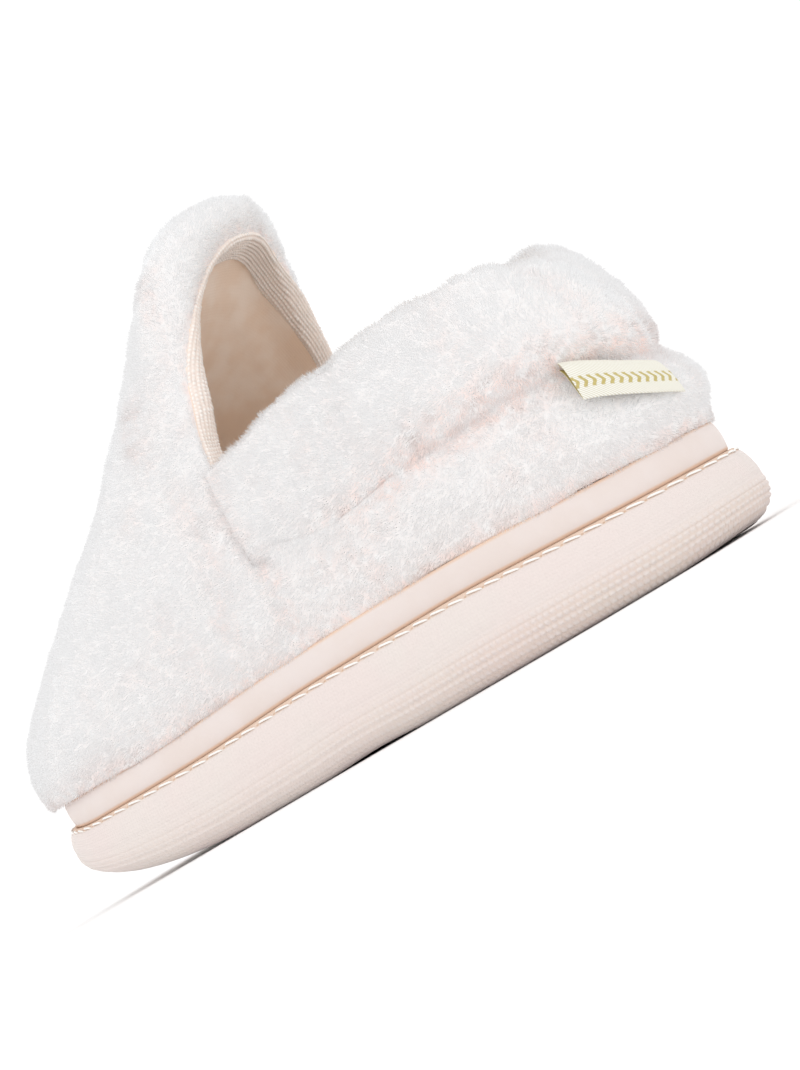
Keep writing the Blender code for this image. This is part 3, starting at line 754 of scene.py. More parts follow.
def wallSheets(grid, inner):   # low rows all round, high rows over the vamp
    s, (quarter, vamp, _) = grid["s"], grid["shares"]
    split = splitAngles(s, vamp, grid["seamZ"], inner)
    share = np.linspace(0, 1, upper["lowRows"] + 1)[:, None]
    angle = split * share
    everywhere = np.broadcast_to(s, angle.shape)
    low = lastPoints(everywhere, angle, inner)
    if not inner:
        _, n = surfaceFrame(everywhere, np.clip(angle, 0.02, 1.5))
        footTuck, tuckHigh = upper["footTuck"]
        far, start = upper["seamTuck"]
        tuck = far * rampUp(share, start, 1.0) * rampUp(1 - quarter, *upper["tuckEnds"])
        tuck = tuck + footTuck * (1 - rampUp(low[..., 2] - low[:1, :, 2], 0.0, tuckHigh))
        low = low - tuck[..., None] * n
        rise, start = upper["seamRise"]
        low[..., 2] += rise * rampUp(share, start, 1.0) * rampUp(1 - quarter, *upper["riseEnds"])
    front = slice(grid["left"], grid["right"] + 1)
    up = np.linspace(0, 1, upper["highRows"] + 1)[1:, None]
    angle = split[front] + (math.pi / 2 - split[front]) * up
    return low, lastPoints(np.broadcast_to(s[front], angle.shape), angle, inner)


def footRows(grid):   # the fleece rolls over the band, tucks behind it and comes up as lining
    s, gap = grid["s"], last["gap"]
    fleeceOut = lastColumn(grid["shares"], 1, 1) - upper["footTuck"][0]
    bandTop = gap + last["bandHeight"] + upper["overBand"]
    wave = wander(np.column_stack((outlineAt(s, 0.0), 0 * s)), upper["footWave"], 77)
    rows = [(fleeceOut - back, bandTop + up + share * wave) for back, up, share, _ in upper["footRoll"]]
    back, atLeast, up = upper["footBehind"]
    rows += [(np.minimum(fleeceOut - back, atLeast), bandTop + up), (last["lastedOut"], bandTop),
             (last["lastedOut"], gap), (last["lastedIn"], gap),
             (last["lastedIn"], bandTop + upper["liningFoot"])]
    ledge = ledgeHeight(outlineAt(s, last["lastedOut"])[:, 0])
    return np.array([np.column_stack((outlineAt(s, out), ledge + up)) for out, up in rows])


def throatLip(a, b):   # rolls back from the fleece's edge a to the lining's edge b
    _, seamEnd, topEnd = last["seam"][-1]
    height = a[:, 2]
    through = np.linspace(0, 1, upper["lipSteps"] + 1)[:, None]
    grow = rampUp(height, *(topEnd + rise for rise in upper["lipRise"]))
    roll = upper["lipRoll"] * np.maximum(np.sin(math.pi * through), 0.0) ** 0.8 * grow
    lip = a + through[..., None] * (b - a) + roll[..., None] * np.array(upper["lipWay"])
    plainHigh, plainShare = upper["plainLip"]
    sew = np.interp(rampUp(height, *upper["bindingTurn"]), (0, 1), upper["bindingStart"])
    sew = np.where(height < seamEnd + plainHigh, plainShare, sew)
    return lip, sew, through[1:-1] - sew


def collarSeat(outer, inner, lip, left, right):   # faces under the collar, from fleece to lining
    faces = []
    for i in (*range(right, len(outer) - 1), *range(left)):
        face = [outer[i], outer[i + 1], inner[i + 1], inner[i]]
        if i + 1 == left:
            face[2:2] = lip[:, 0]
        if i == right:
            face += list(lip[::-1, -1])
        faces.append([int(k) for k in face])
    return faces


def heelSwell(points, quarter):   # on the low rows of the fleece side, which come first
    out, run, foot, crest, end = upper["heelBulge"]
    rows, z = upper["lowRows"] + 1, points[:, 2]
    swell = np.zeros(len(points))
    swell[:rows * len(quarter)] = np.tile(out * np.exp(-(quarter / run) ** 2), rows)
    return swell * rampUp(z, foot, crest) * (1 - rampUp(z, crest, end))


def throatLining(seamZ):   # rows of the lining just inside the throat, from one side seam to the other
    inward = np.linspace(*upper["bindingReach"])
    sides = []
    for s in (leftSeam + inward, rightSeam - inward):
        split = splitAngles(s, seamShares(s)[1], np.full(len(s), seamZ), True)[:, None]
        angle = split + (math.pi / 2 - split) * np.linspace(0, 1, upper["highRows"] + 1)
        sides.append(lastPoints(np.broadcast_to(s[:, None], angle.shape), angle, True))
    return np.concatenate((sides[0], sides[1][:, -2::-1]), 1)


def makeUpper(backFinish, hairFinish, lining):
    grid = upperGrid()
    left, right, columns = grid["left"], grid["right"], len(grid["s"])
    ridge, steps, rolled = upper["vampColumns"], upper["lipSteps"], len(upper["footRoll"])
    rows, sheets = [], []
    for inner in (False, True):
        low, high = wallSheets(grid, inner)
        low = wrapped(addRows(rows, low))
        high = np.vstack((low[-1:, left:right + 1], addRows(rows, high)))
        high[-1, ridge + 1:] = high[-1, :ridge][::-1]   # both sides share the ridge
        sheets.append((low, high, np.concatenate((high[:, 0], high[:-1, -1][::-1]))))
    (outLow, outHigh, outEdge), (inLow, inHigh, inEdge) = sheets
    foot = np.vstack((outLow[:1], wrapped(addRows(rows, footRows(grid))), inLow[:1]))
    soFar = np.vstack(rows)
    lip, sew, pastSewing = throatLip(soFar[outEdge], soFar[inEdge])
    lipIndex = addRows(rows, lip[1:-1])
    points = np.vstack(rows)

    outQuads = np.vstack((gridFaces(outLow), gridFaces(outHigh)))[:, ::-1]
    inQuads = np.vstack((gridFaces(inLow), gridFaces(inHigh)))
    footQuads = gridFaces(foot)
    footRow = np.arange(len(footQuads)) // columns
    lipQuads = gridFaces(np.vstack((outEdge, lipIndex, inEdge)).T)
    seat = collarSeat(outLow[-1], inLow[-1], lipIndex, left, right)
    quads = np.vstack((outQuads, footQuads, lipQuads, inQuads))

    # soft lumps and creases on the fleece side only
    even = vertexNormals(points, quads)
    soft = np.zeros(len(points))
    soft[np.unique(outQuads)] = 1.0
    soft[lipIndex] = 1 - rampUp(pastSewing, -upper["lipSoft"], 0.0)
    soft[foot[1:rolled + 1]] = np.array([roll[3] for roll in upper["footRoll"]])[:, None]
    press, blush = foldsAt(points)
    lumps = soft * (lumpsAt(points, upper["lumps"], upper["lumpSeed"]) - press)
    points = points + even * (lumps + heelSwell(points, grid["shares"][0]))[:, None]

    # painted pink shade in the creases, under the collar and along the band; blush along the binding and in
    # thin places
    much, high = upper["seamShade"]
    fromSeam = (points[outLow[:, :-1], 2] - grid["seamZ"]) / high
    near = np.zeros(len(points))
    ends = rampUp(-wayAlong(grid["s"]), *upper["seamShadeEnds"])
    near[outLow[:, :-1]] = much * np.exp(-fromSeam ** 2) * ends
    near *= soft
    # painted shade where the fleece rolls over and tucks behind the band, fading up the next rows; blush
    # along the binding
    tucked = np.zeros(len(points))
    tucked[foot[:len(upper["footShade"])]] = np.array(upper["footShade"])[:, None]
    tucked[outLow[1:len(upper["rowShade"]) + 1]] = np.array(upper["rowShade"])[:, None]
    much, run = upper["lipBlush"]
    tucked[lipIndex] = much * rampUp(pastSewing, -run, 0.0)
    fromX, toX, lost = upper["toePatches"]
    patches = soft * patchesAt(points, 91) * (1 - lost * rampUp(points[:, 0], fromX, toX))
    blush = np.clip(np.maximum.reduce((blush, near, tucked, patches)), 0, 1)

    lipShare = (np.arange(steps) + 0.5) / steps
    sewn = lipShare > (0.5 * (sew[1:] + sew[:-1]))[:, None]
    faceFinish = np.concatenate((np.zeros(len(outQuads)), footRow >= rolled + 3, sewn.ravel(),
                                 np.ones(len(inQuads)), np.zeros(len(seat))))
    addPiece("fleeceUpper", points, quads.tolist() + seat, [backFinish, lining], "upper",
             {"blush": blush}, faceFinish)

    # nap: down the foot on vamp and quarters, back over the lip at the throat
    nap = np.where((points[:, 0] > last["sideSeamX"])[:, None], upper["vampNap"], upper["quarterNap"])
    for edgeRow in (outEdge, lipIndex, inEdge):
        nap[edgeRow] = upper["lipNap"]
    pileShare = np.ones(len(points))
    pileShare[foot[1:rolled + 2]] = upper["footPile"]
    lost, run = upper["lipPileLost"]
    pileShare[lipIndex] = 1 - lost * rampUp(pastSewing, -run, 0.0)
    hairy = np.vstack((outQuads, footQuads[footRow < rolled], lipQuads.reshape(-1, steps, 4)[~sewn]))
    surface = {"points": points, "quads": hairy, "normals": vertexNormals(points, quads), "even": even,
               "nap": nap, "blush": blush, "pileShare": pileShare}
    growPile("fleecePileUpper", surface, hairFinish, fleece["seed"])

    # what the binding is sewn to: the lip, and the lining just inside it
    part = slice(upper["bindingFrom"], -upper["bindingFrom"])
    return {"path": np.concatenate((lip, throatLining(grid["seamZ"][left])))[:, part], "sew": sew[part]}


# collar: a padded cuff from one side seam round the heel to the other
collar = {
    # share of the height from seam to topline, distance out from the upper's surface
    "profile": ((0.00, -2.5), (0.07, 0.8), (0.22, 2.9), (0.45, 3.6), (0.70, 2.9), (0.88, 0.8), (0.97, -2.2),
                (1.00, -5.2), (0.96, -8.2), (0.84, -10.2), (0.55, -10.6), (0.22, -9.4), (0.00, -7.5)),
    "columns": 220,
    "loop": 84,
    "height": 40.0,
    "endGap": -1.8,
    "endEase": 4.0,            # length at each end that stays square
    "endFill": (1.0, 2.0, 10.0),    # fullness of its lower corners, over what lengths from the end
    "cornerHigh": (0.2, 0.6),  # shares of the height over which that ends
    "mergeFrom": (-0.55, -0.15),    # ways along between which it runs flush into the quarter and vamp
    "merge": 0.92,
    "mergeDrop": 3.0,
    "flush": (-0.2, 1.0, 0.02, 0.40),   # out at the seam and above, between these shares of the height
    "outside": -2.6,           # out from there on
    "liningFrom": -6.4,
    "pileTo": -7.4,
    "softFrom": (-7.5, -3.5),
    "lumps": ((30.0, 1.3), (11.0, 0.5), (3.8, 0.22)),
    "lumpSeed": 30,
    # dents across the cuff: way along (-1 heel back, 0 side seam), width, depth, painted pink shade
    "dents": ((-0.86, 5.0, 1.6, 0.5), (-0.62, 6.0, 1.3, 0.4), (-0.33, 7.0, 1.1, 0.3), (-0.10, 5.0, 0.9, 0.2)),
    "dentWander": (16.0, 5.0),   # size, how far
    "dentDepth": 0.7,
    "dentFade": 0.5,           # share of a dent's painted shade lost at the topline
    # strength of the painted pink shade in creases and dents
    "blush": 0.8,
    "seamShade": 0.24,         # share of the height over which the seam gets painted shade
    "seamShadeEnds": (0.02, 0.3),
    "topPatches": (0.3, 0.8, 0.6),   # shares of the height from, to, share of the thin places lost up there
    "nap": (0.6, -0.9, 0.4),   # toward the toe, up at the seam, up at the top
    "napTurn": (0.05, 0.45),   # shares of the height between which it changes
    "lipPileLost": (0.4, 4.0, 8.0),   # share of the pile's length lost inside, between these depths
    "fill": 0.75,
}


def collarForm():   # rings across the cuff, how far out each point is, and how near an end
    n, loop, scale = collar["columns"], collar["loop"], (collar["height"], 1.0)
    ring = closedCurve(np.array(collar["profile"]) * scale, loop) / scale
    share = ring[:, 0]
    s = np.linspace(rightSeam - girth + collar["endGap"], leftSeam - collar["endGap"], n)
    at = np.mod(s, girth)
    quarter, _, _ = seamShares(at)
    merge = rampUp(wayAlong(at), *collar["mergeFrom"])[:, None]
    lowZ = smoothColumn(last["seam"], 1, quarter)[:, None] - collar["mergeDrop"] * merge
    topZ = smoothColumn(last["seam"], 2, quarter)[:, None]
    heights = lowZ + np.clip(share, -0.01, 1.02) * (topZ - lowZ)
    p, normal = surfaceFrame(np.repeat(at[:, None], loop, 1), anglesAt(at, heights))
    fromEnd = np.minimum(s - s[0], s[-1] - s)[:, None]
    normal[..., 0] *= rampUp(fromEnd, 0.0, collar["endEase"])

    # no step where it runs into the quarter and vamp
    atSeam, above, low, high = collar["flush"]
    full, near, far = collar["endFill"]
    atEnd = 1 - rampUp(fromEnd, near, far)
    flush = atSeam + (above - atSeam) * rampUp(share, low, high)
    flush = flush + full * atEnd * (1 - rampUp(share, *collar["cornerHigh"]))
    out = np.broadcast_to(ring[:, 1], (n, loop))
    out = np.where(out > collar["outside"], out + merge * (flush - out) * collar["merge"], out)
    return p + out[..., None] * normal, s, share, out, atEnd


def makeCollar(backFinish, hairFinish, lining):
    form, s, share, out, atEnd = collarForm()
    n, loop = out.shape
    points, out = form.reshape(-1, 3), out.ravel()
    along, share = np.repeat(s, loop), np.tile(share, n)
    index = closedIndex(n, loop)
    quads = gridFaces(index)
    even = vertexNormals(points, quads)
    if (even * (points - points.mean(0))).sum() < 0:
        quads, even = quads[:, ::-1], -even

    # creases and dents press in and get painted pink shade
    press, blush = foldsAt(points)
    wandering = along + wander(points, collar["dentWander"], 33)
    for where, width, depth, tint in collar["dents"]:
        for side in (1, -1):
            centre = float(stationAt(where, side)) - (girth if side < 0 else 0.0)
            dent = np.exp(-((wandering - centre) / width) ** 2)
            press = press + depth * dent
            blush = np.maximum(blush, tint * dent * (1 - collar["dentFade"] * share))
    press = collar["dentDepth"] * press * (1 - np.repeat(atEnd, loop))
    lumps = lumpsAt(points, collar["lumps"], collar["lumpSeed"])
    points = points + even * (rampUp(out, *collar["softFrom"]) * (lumps - press))[:, None]

    way = np.repeat(wayAlong(np.mod(s, girth)), loop)
    # painted shade on the cuff along its seam
    seamShade = np.exp(-(share / collar["seamShade"]) ** 2) * rampUp(-way, *collar["seamShadeEnds"])
    low, high, lost = collar["topPatches"]
    patches = patchesAt(points, 95) * (1 - lost * rampUp(share, low, high))
    blush = np.clip(np.maximum.reduce((collar["blush"] * blush, seamShade, patches)), 0, 1)
    faceOut = out[quads].mean(1)
    ends = [index[0, :-1].tolist(), index[-1, :-1][::-1].tolist()]
    piece = addPiece("fleeceCollar", points, quads.tolist() + ends, [backFinish, lining], "collar",
                     {"blush": blush}, np.concatenate((faceOut < collar["liningFrom"], (0, 0))))

    # nap: toward the toe, hangs over the seam, stands up at the top
    forward, atSeam, atTop = collar["nap"]
    nap = unit(np.gradient(form, axis=0).reshape(-1, 3)) * np.where(along > 0, forward, -forward)[:, None]
    nap[:, 2] += atSeam + (atTop - atSeam) * rampUp(share, *collar["napTurn"])
    lost, near, far = collar["lipPileLost"]
    surface = {"points": points, "quads": quads[faceOut > collar["pileTo"]], "even": even,
               "normals": vertexNormals(points, quads), "nap": nap, "blush": blush,
               "pileShare": 1 - lost * rampUp(-out, near, far)}
    growPile("fleecePileCollar", surface, hairFinish, fleece["seed"] + 1)


# terry binding sewn round the throat: over the edge at the sides, under the fleece at the top
binding = {
    "width": 12.0,
    "across": 42,
    "along": 440,
    "rib": 1.25,
    "loop": 1.15,
    "thick": 0.35,
    "under": 0.2,
    "ribHigh": 0.28,
    "loopHigh": 0.55,
    "edge": (1.0, 0.2),        # width of its thin edge, share of the height there
    "ribWander": (7.0, 0.4),   # size, how far
    "loopWander": (2.2, 1.5),
    "loopFullness": 0.75,
    "fullnessWander": (1.6, 0.45),
    "facing": (100.0, -3.5, 90.0),       # a point in the foot room
    "yarn": colour(0.91, 0.855, 0.81),
    "valleyShade": colour(0.83, 0.72, 0.65),
}


def bindingFinish():
    f = Finish("terryBinding", {"Roughness": 0.92, "Sheen Weight": 0.25})
    # loops pale, painted shade in the valleys between them
    f.give("Base Color", f.blend(binding["valleyShade"], binding["yarn"], f.tone("loops"), 0.05, 0.6))
    f.bump(f.noise(2400.0), strength=0.4, distance=0.0003)
    return f


def bindingForm(throat, d):   # a strip of even width that starts where it is sewn on
    path, sew = throat["path"], throat["sew"]
    far = lineRun(path)
    strip = []
    for i, share in enumerate(sew):
        start = np.interp(share * upper["lipSteps"], np.arange(len(far)), far[:, i])
        strip.append(onLine(start + d, far[:, i], path[:, i]))
    strip = np.stack(strip, 1)
    length = lineRun(strip[len(d) // 3])
    along = np.linspace(0, length[-1], binding["along"])
    return np.stack([onLine(along, length, row) for row in strip]), along


def makeBinding(finish, throat):
    d = np.linspace(0, binding["width"], binding["across"] + 1)
    p, along = bindingForm(throat, d)
    n = unit(np.cross(np.gradient(p, axis=0), np.gradient(p, axis=1)))
    n *= np.sign((n * (np.array(binding["facing"]) - p)).sum())
    lane = d[:, None] / binding["rib"] + wander(p, binding["ribWander"], 11)
    rib = np.abs(np.sin(math.pi * lane))
    phase = 2 * math.pi * along / binding["loop"] + math.pi * np.floor(lane)
    beads = 0.5 + 0.5 * np.sin(phase + wander(p, binding["loopWander"], 13))
    loops = rib * beads * (binding["loopFullness"] + wander(p, binding["fullnessWander"], 12))
    edgeWide, thin = binding["edge"]
    fade = np.minimum(rampUp(d, 0.0, edgeWide), rampUp(binding["width"] - d, 0.0, edgeWide))[:, None]
    high = binding["thick"] + binding["ribHigh"] * rib + binding["loopHigh"] * loops
    high = high * (thin + (1 - thin) * fade)
    rows = []
    front = addRows(rows, p + n * high[..., None])
    back = addRows(rows, p - binding["under"] * n)
    rim = np.concatenate((front[0, :-1], front[:-1, -1], front[-1, :0:-1], front[:0:-1, 0]))
    sides = gridFaces(wrapped(np.vstack((rim, rim + back[0, 0]))))
    quads = np.vstack((gridFaces(front), gridFaces(back)[:, ::-1], sides[:, ::-1]))
    tones = {"loops": np.concatenate((loops.ravel(), np.zeros(back.size)))}
    facing(addPiece("terryBinding", np.vstack(rows), quads, [finish], tones=tones))


# foxing band: smooth rubber tape round the foot of the fleece
band = {
    # distance out from the outline, height above the ledge
    "profile": ((-7.2, -0.3), (-4.9, -0.3), (-4.5, 0.25), (-4.3, 1.2), (-4.12, 2.8), (-4.08, 4.6),
                (-4.2, 6.4), (-4.5, 7.9), (-4.9, 8.8), (-5.5, 9.2), (-7.2, 9.2)),
    "columns": 360,
    "waveFrom": 6.0,           # height from which its top edge waves
    "waves": ((0.12, 9.0, 0.0), (0.10, 23.0, 1.0)),   # height, length, start
    "body": colour(0.735, 0.645, 0.605),
    "pale": colour(0.75, 0.67, 0.64),
    # painted shade along the band's top and bottom edges, also the ground of the stitch pits
    "line": colour(0.78, 0.55, 0.40),
    "gloss": 0.46,
}


def bandFinish():
    f = Finish("bandRubber", {"Roughness": band["gloss"], "Specular IOR Level": 0.4})
    level = f.tone("level")
    cloud = f.noise(55.0, detail=3.0, rough=0.6)
    body = f.blend(band["body"], band["pale"], cloud, 0.35, 0.65)
    # painted shade along the band's bottom edge and its top edge under the fleece
    edgeShade = 1 - f.between(level, 0.02, 0.12) + f.between(level, 0.86, 0.98)
    f.give("Base Color", f.mix(body, band["line"], edgeShade * 0.85))
    f.give("Roughness", band["gloss"] + 0.12 * f.noise(300.0) + 0.2 * edgeShade)
    f.bump(f.noise(900.0, detail=3.0) + 2.0 * cloud, strength=0.10, distance=0.0006)
    return f


def makeBand(finish):
    s = allRound(band["columns"])
    wave = sum(high * np.sin(s / length + start) for high, length, start in band["waves"])
    rings = [overLedge(s, out, last["gap"] + up + wave * (up > band["waveFrom"]))
             for out, up in band["profile"]]
    level = np.repeat([up / last["bandHeight"] for _, up in band["profile"]], len(s))
    quads = hoopFaces(closedIndex(len(rings), len(s)))
    facing(addPiece("foxingBand", np.vstack(rings), quads, [finish], "foxing_band",
                    {"level": level}, sharp=50))


# sole: a moulded body with a grooved tread, and the knurled skin of its side wall
sole = {
    "body": colour(0.755, 0.685, 0.650),
    "blush": colour(0.765, 0.675, 0.645),
    # painted shade between the knurl blocks, in the stitch channel and toward the ledge
    "recessShade": colour(0.74, 0.53, 0.385),
    "roughness": 0.62,
    "shine": 0.35,
    # share of the wall's height, distance out from the outline; below 0 it runs in under the sole
    "wall": ((-0.06, -7.9), (0.00, -6.5), (0.07, -4.0), (0.15, -2.1), (0.21, -1.15), (0.24, -1.05),
             (0.27, -0.6), (0.37, -0.12), (0.40, -0.2), (0.43, 0.0), (0.54, -0.1), (0.57, 0.0),
             (0.74, -0.5), (0.90, -1.7), (1.00, -3.4)),
    "wallHigh": 24.0,         # about, for the size of the knurl
    "rim": -6.5,
    "panel": -8.0,            # edge of the grooved panel
    "panelStep": 0.30,
    "core": 0.6,              # how far the body lies under the skin
    "coreRings": (0.05, 0.15, 0.3, 0.5, 0.75, 0.9, 0.985),
    "skin": 0.3,              # from the body to the back of the skin
    "skinBack": (0.9, 0.6, 0.3, 0.06),
    "skinEnds": (-0.055, 0.995),
    "columns": 1160,
    "rows": (3, 58),          # under the sole, up the wall
    "bodyColumns": 400,
    "blockRows": 7,
    "blockTop": 0.56,
    "blockRun": 2.1,
    "blockHigh": 0.34,
    "blockSlope": ((0.06, 0.24), (0.08, 0.30)),   # shares of a block where its ends and its sides rise
    "blockEase": 0.60,        # share of the rows that are full
    "blockFoot": 0.03,        # share of the wall's height over which they rise from its foot
    "blockFade": (45.0, 150.0, 0.40),   # x where the blocks start to fade, where they end, what is left
    "channel": (0.952, 0.016, 0.22),    # where the stitches lie: share, half width, depth
    "shoulder": (0.955, 0.985),         # shares between which painted shade deepens toward the ledge
    "recessShadeIn": {"knurl": 0.25, "channel": 0.6, "shoulder": 0.8, "ledge": 0.9},
    "knurl": 1.05,
    "ledgeIn": -5.2,
    "ledgeDrop": 0.1,         # of the body under the ledge
}
tread = {
    "floor": 1.7,             # width of a groove at its floor
    "depth": 1.3,
    "past": 1.0,              # how far the cutter comes out of the tread
    "mouth": 3.24,            # its width there
    "margin": 0.7,            # from the ends of the grooves to the panel's edge
    "fineStep": 0.5,          # along a line while its corners are rounded
    "rounding": 6,            # times
    "keepEvery": 6,           # fine steps between the points kept
    "shade": colour(0.76, 0.665, 0.605),
    "shadeLight": colour(0.78, 0.70, 0.655),
}


def soleRubber(name):
    f = Finish(name, {"Roughness": sole["roughness"], "Specular IOR Level": sole["shine"]})
    grain = f.noise(2600.0, rough=0.6)
    cloud = f.noise(38.0, detail=3.0, rough=0.55)
    f.give("Roughness", sole["roughness"] + 0.16 * (grain - 0.5))
    return f, grain, f.blend(sole["body"], sole["blush"], cloud, 0.35, 0.65)


def soleFinish():
    f, grain, body = soleRubber("soleRubber")
    f.give("Base Color", body)
    f.bump(grain + 0.6 * f.noise(700.0, detail=3.0, rough=0.6), strength=0.22, distance=0.0003)
    return f


def knurlFinish():
    f, grain, body = soleRubber("soleKnurl")
    # painted shade in the knurl's hollows, the stitch channel and toward the ledge
    f.give("Base Color", f.mix(body, sole["recessShade"], f.tone("dipShade")))
    along, upward = (f.size(f.sine(f.tone(way) * (math.pi / sole["knurl"]))) for way in ("runs", "lift"))
    f.bump(along * upward + 0.5 * grain, strength=0.4, distance=0.0003)
    return f


def grooveFinish():
    f = Finish("treadGroove", {"Roughness": 0.7, "Specular IOR Level": 0.3})
    fleck = f.noise(1500.0, detail=3.0, rough=0.7)
    f.give("Base Color", f.blend(tread["shade"], tread["shadeLight"], fleck, 0.35, 0.7))
    f.bump(fleck, strength=0.35, distance=0.0003)
    return f


def wallOut(share):
    return smoothColumn(sole["wall"], 1, share)


def wallPoint(s, share, lift):   # a point of the side wall, raised square to it
    share = np.broadcast_to(share, np.shape(s))
    low = treadHeight(outlineAt(s, sole["rim"])[..., 0]) + sole["panelStep"]
    high = ledgeHeight(outlineAt(s, wallOut(share))[..., 0]) - low
    rise = 0.02 * high * (share > 0)
    lean = wallOut(share + 0.01) - wallOut(share - 0.01)
    slant = np.hypot(rise, lean)
    flat = outlineAt(s, wallOut(share) + lift * rise / slant)
    return np.concatenate((flat, (low + np.maximum(share, 0) * high - lift * lean / slant)[..., None]), -1)


def blockRise(phase, slope):   # 0 between two blocks, 1 on a block
    low, high = slope
    return rampUp(phase, low, high) * (1 - rampUp(phase, 1 - high, 1 - low))


def makeWallSkin(finish):
    s = allRound(sole["columns"])
    bottom, top = sole["skinEnds"]
    under, upward = sole["rows"]
    share = np.concatenate((np.linspace(bottom, 0.0, under, endpoint=False), np.linspace(0.0, top, upward)))
    step = s / girth * round(girth / sole["blockRun"])
    fadeFrom, fadeTo, left = sole["blockFade"]
    strong = left + (1 - left) * (1 - rampUp(outlineAt(s, 0.0)[:, 0], fadeFrom, fadeTo))
    level, half, deep = sole["channel"]
    ends, sides = sole["blockSlope"]
    recessShade, blocks = sole["recessShadeIn"], sole["blockRows"]
    rings, dipShade = [], []
    for at in share:
        lane = at / sole["blockTop"] * blocks
        row = math.floor(lane)
        block = blockRise((step + 0.5 * (row % 2)) % 1.0, ends) * blockRise(lane - row, sides)
        here = strong * (1 - rampUp(lane, blocks * sole["blockEase"], blocks))
        here = here * rampUp(at, 0.0, sole["blockFoot"])
        groove = math.exp(-((at - level) / half) ** 2)
        rings.append(wallPoint(s, at, sole["blockHigh"] * block * here - deep * groove))
        # painted shade: between blocks, in the stitch channel, toward the ledge and on it
        dipShade.append(recessShade["knurl"] * (1 - block) * here + recessShade["channel"] * groove
                   + recessShade["shoulder"] * rampUp(at, *sole["shoulder"]))
    rings.append(overLedge(s, sole["ledgeIn"], 0.0))
    dipShade.append(np.full(len(s), recessShade["ledge"]))
    for at in sole["skinBack"]:
        rings.append(wallPoint(s, at, -sole["core"] - sole["skin"]))
        dipShade.append(np.zeros(len(s)))
    lift = np.zeros(len(rings))
    lift[:len(share)] = share * sole["wallHigh"]
    quads = hoopFaces(closedIndex(len(rings), len(s)))
    tones = {"dipShade": np.concatenate(dipShade), "runs": np.tile(s, len(rings)), "lift": np.repeat(lift, len(s))}
    facing(addPiece("wallSkin", np.vstack(rings), quads, [finish], tones=tones))


# tread grooves: nested chevrons on the heel, bent lines across the forefoot
def grooveLines():
    lines = [
        ((85, 35.6), (139, 29.2)),
        ((189.5, 46), (195.5, 33.2), (243, 21.5)),
        ((137.5, 42), (143.5, 24), (148.5, 4), (151.5, -20), (152.5, -38), (151, -55)),
        ((194.6, -30.4), (195, -45.6), (203, -45.4)),
        ((201.2, -30.8), (202, -40.6), (211.5, -40.6)),
        ((207.8, -31.4), (208.4, -35), (212, -34.6)),
        ((52.9, 36.2), (58.6, 34.6)),
        ((40.7, 35), (54.3, 26.4)),
        ((29.2, 32.6), (48.6, 19.3)),
        ((16.6, 18.6), (27.9, 24.3), (42.9, 14.3)),
        ((25, 10), (30.7, 13.6), (37, 9.3)),
    ]
    for k in range(3):   # nested lines of heel and waist
        lines.append([(8 - 1.6 * k, 16 - 5.6 * k), (19 - k, 7 - 7 * k), (33 + k, -1.5 - 7.4 * k),
                      (59 + 9 * k, 21 + 0.3 * k), (65 + 7.5 * k, 29), (67 + 7.4 * k, 38)])
        lines.append([(38 + 7.4 * k, -41 - 1.5 * k), (90 + k, 7.9 - 7.2 * k), (145 + 0.6 * k, 2.1 - 7.8 * k)])
        lines.append([(104.3 + 6.9 * k, -47.5), (139.5 + 4.2 * k, -18.2 - 2.4 * k * (k - 1))])
    for k in range(2):   # from the edge of the heel to the end of the waist
        lines.append([(5 + 4 * k, -1.7 - 9.5 * k), (17 + 5 * k, -12.5 - 7 * k),
                      (35.3 + 0.5 * k, -22.9 - 5.7 * k), (87 + 1.6 * k, 25 - 8.4 * k),
                      (140.7 + 2.2 * k, 18.6 - 8.2 * k)])
    for k in range(6):   # nested chevrons on the outer side of the waist
        lines.append([(90 - 6.6 * k, -16.2 - 4.7 * k), (95.2 + 0.4 * k, -17.2 - 5.5 * k),
                      (99.3 + 6.7 * k, -13 - 0.9 * k)])
    for k in range(7):   # bent lines across the forefoot
        lines.append([(145 + 6.3 * k, 46), (151.5 + 6.1 * k, 21 + 2.6 * k), (160 + 5.4 * k, -22.2 + 7.9 * k),
                      (217 + 6.7 * k, -26.1 + 5.6 * k), (218 + 6.6 * k, -50 + 6 * k)])
    for k in range(5):   # short ones to its outer edge
        lines.append([(160.2 + 6.9 * k, -28.2 - 0.4 * k), (160.8 + 6.9 * k, -39), (159 + 6.9 * k, -56)])
    return lines


def insideOf(points, rim):
    x, y = points[:, :1], points[:, 1:]
    x1, y1 = rim.T
    x2, y2 = np.roll(x1, -1), np.roll(y1, -1)
    where = (x2 - x1) * (y - y1) / np.where(y2 == y1, 1e-9, y2 - y1) + x1
    return (((y1 > y) != (y2 > y)) & (x < where)).sum(1) % 2 == 1


def softLine(line, rim):   # corners rounded a little, cut off at the panel's edge
    line = np.array(line, float)
    run = lineRun(line)
    s = np.linspace(0, run[-1], max(3, int(run[-1] / tread["fineStep"])))
    p = easeLine(onLine(s, run, line), tread["rounding"])
    p = p[insideOf(p, rim)]
    return p[np.unique(np.append(np.arange(0, len(p), tread["keepEvery"]), len(p) - 1))]


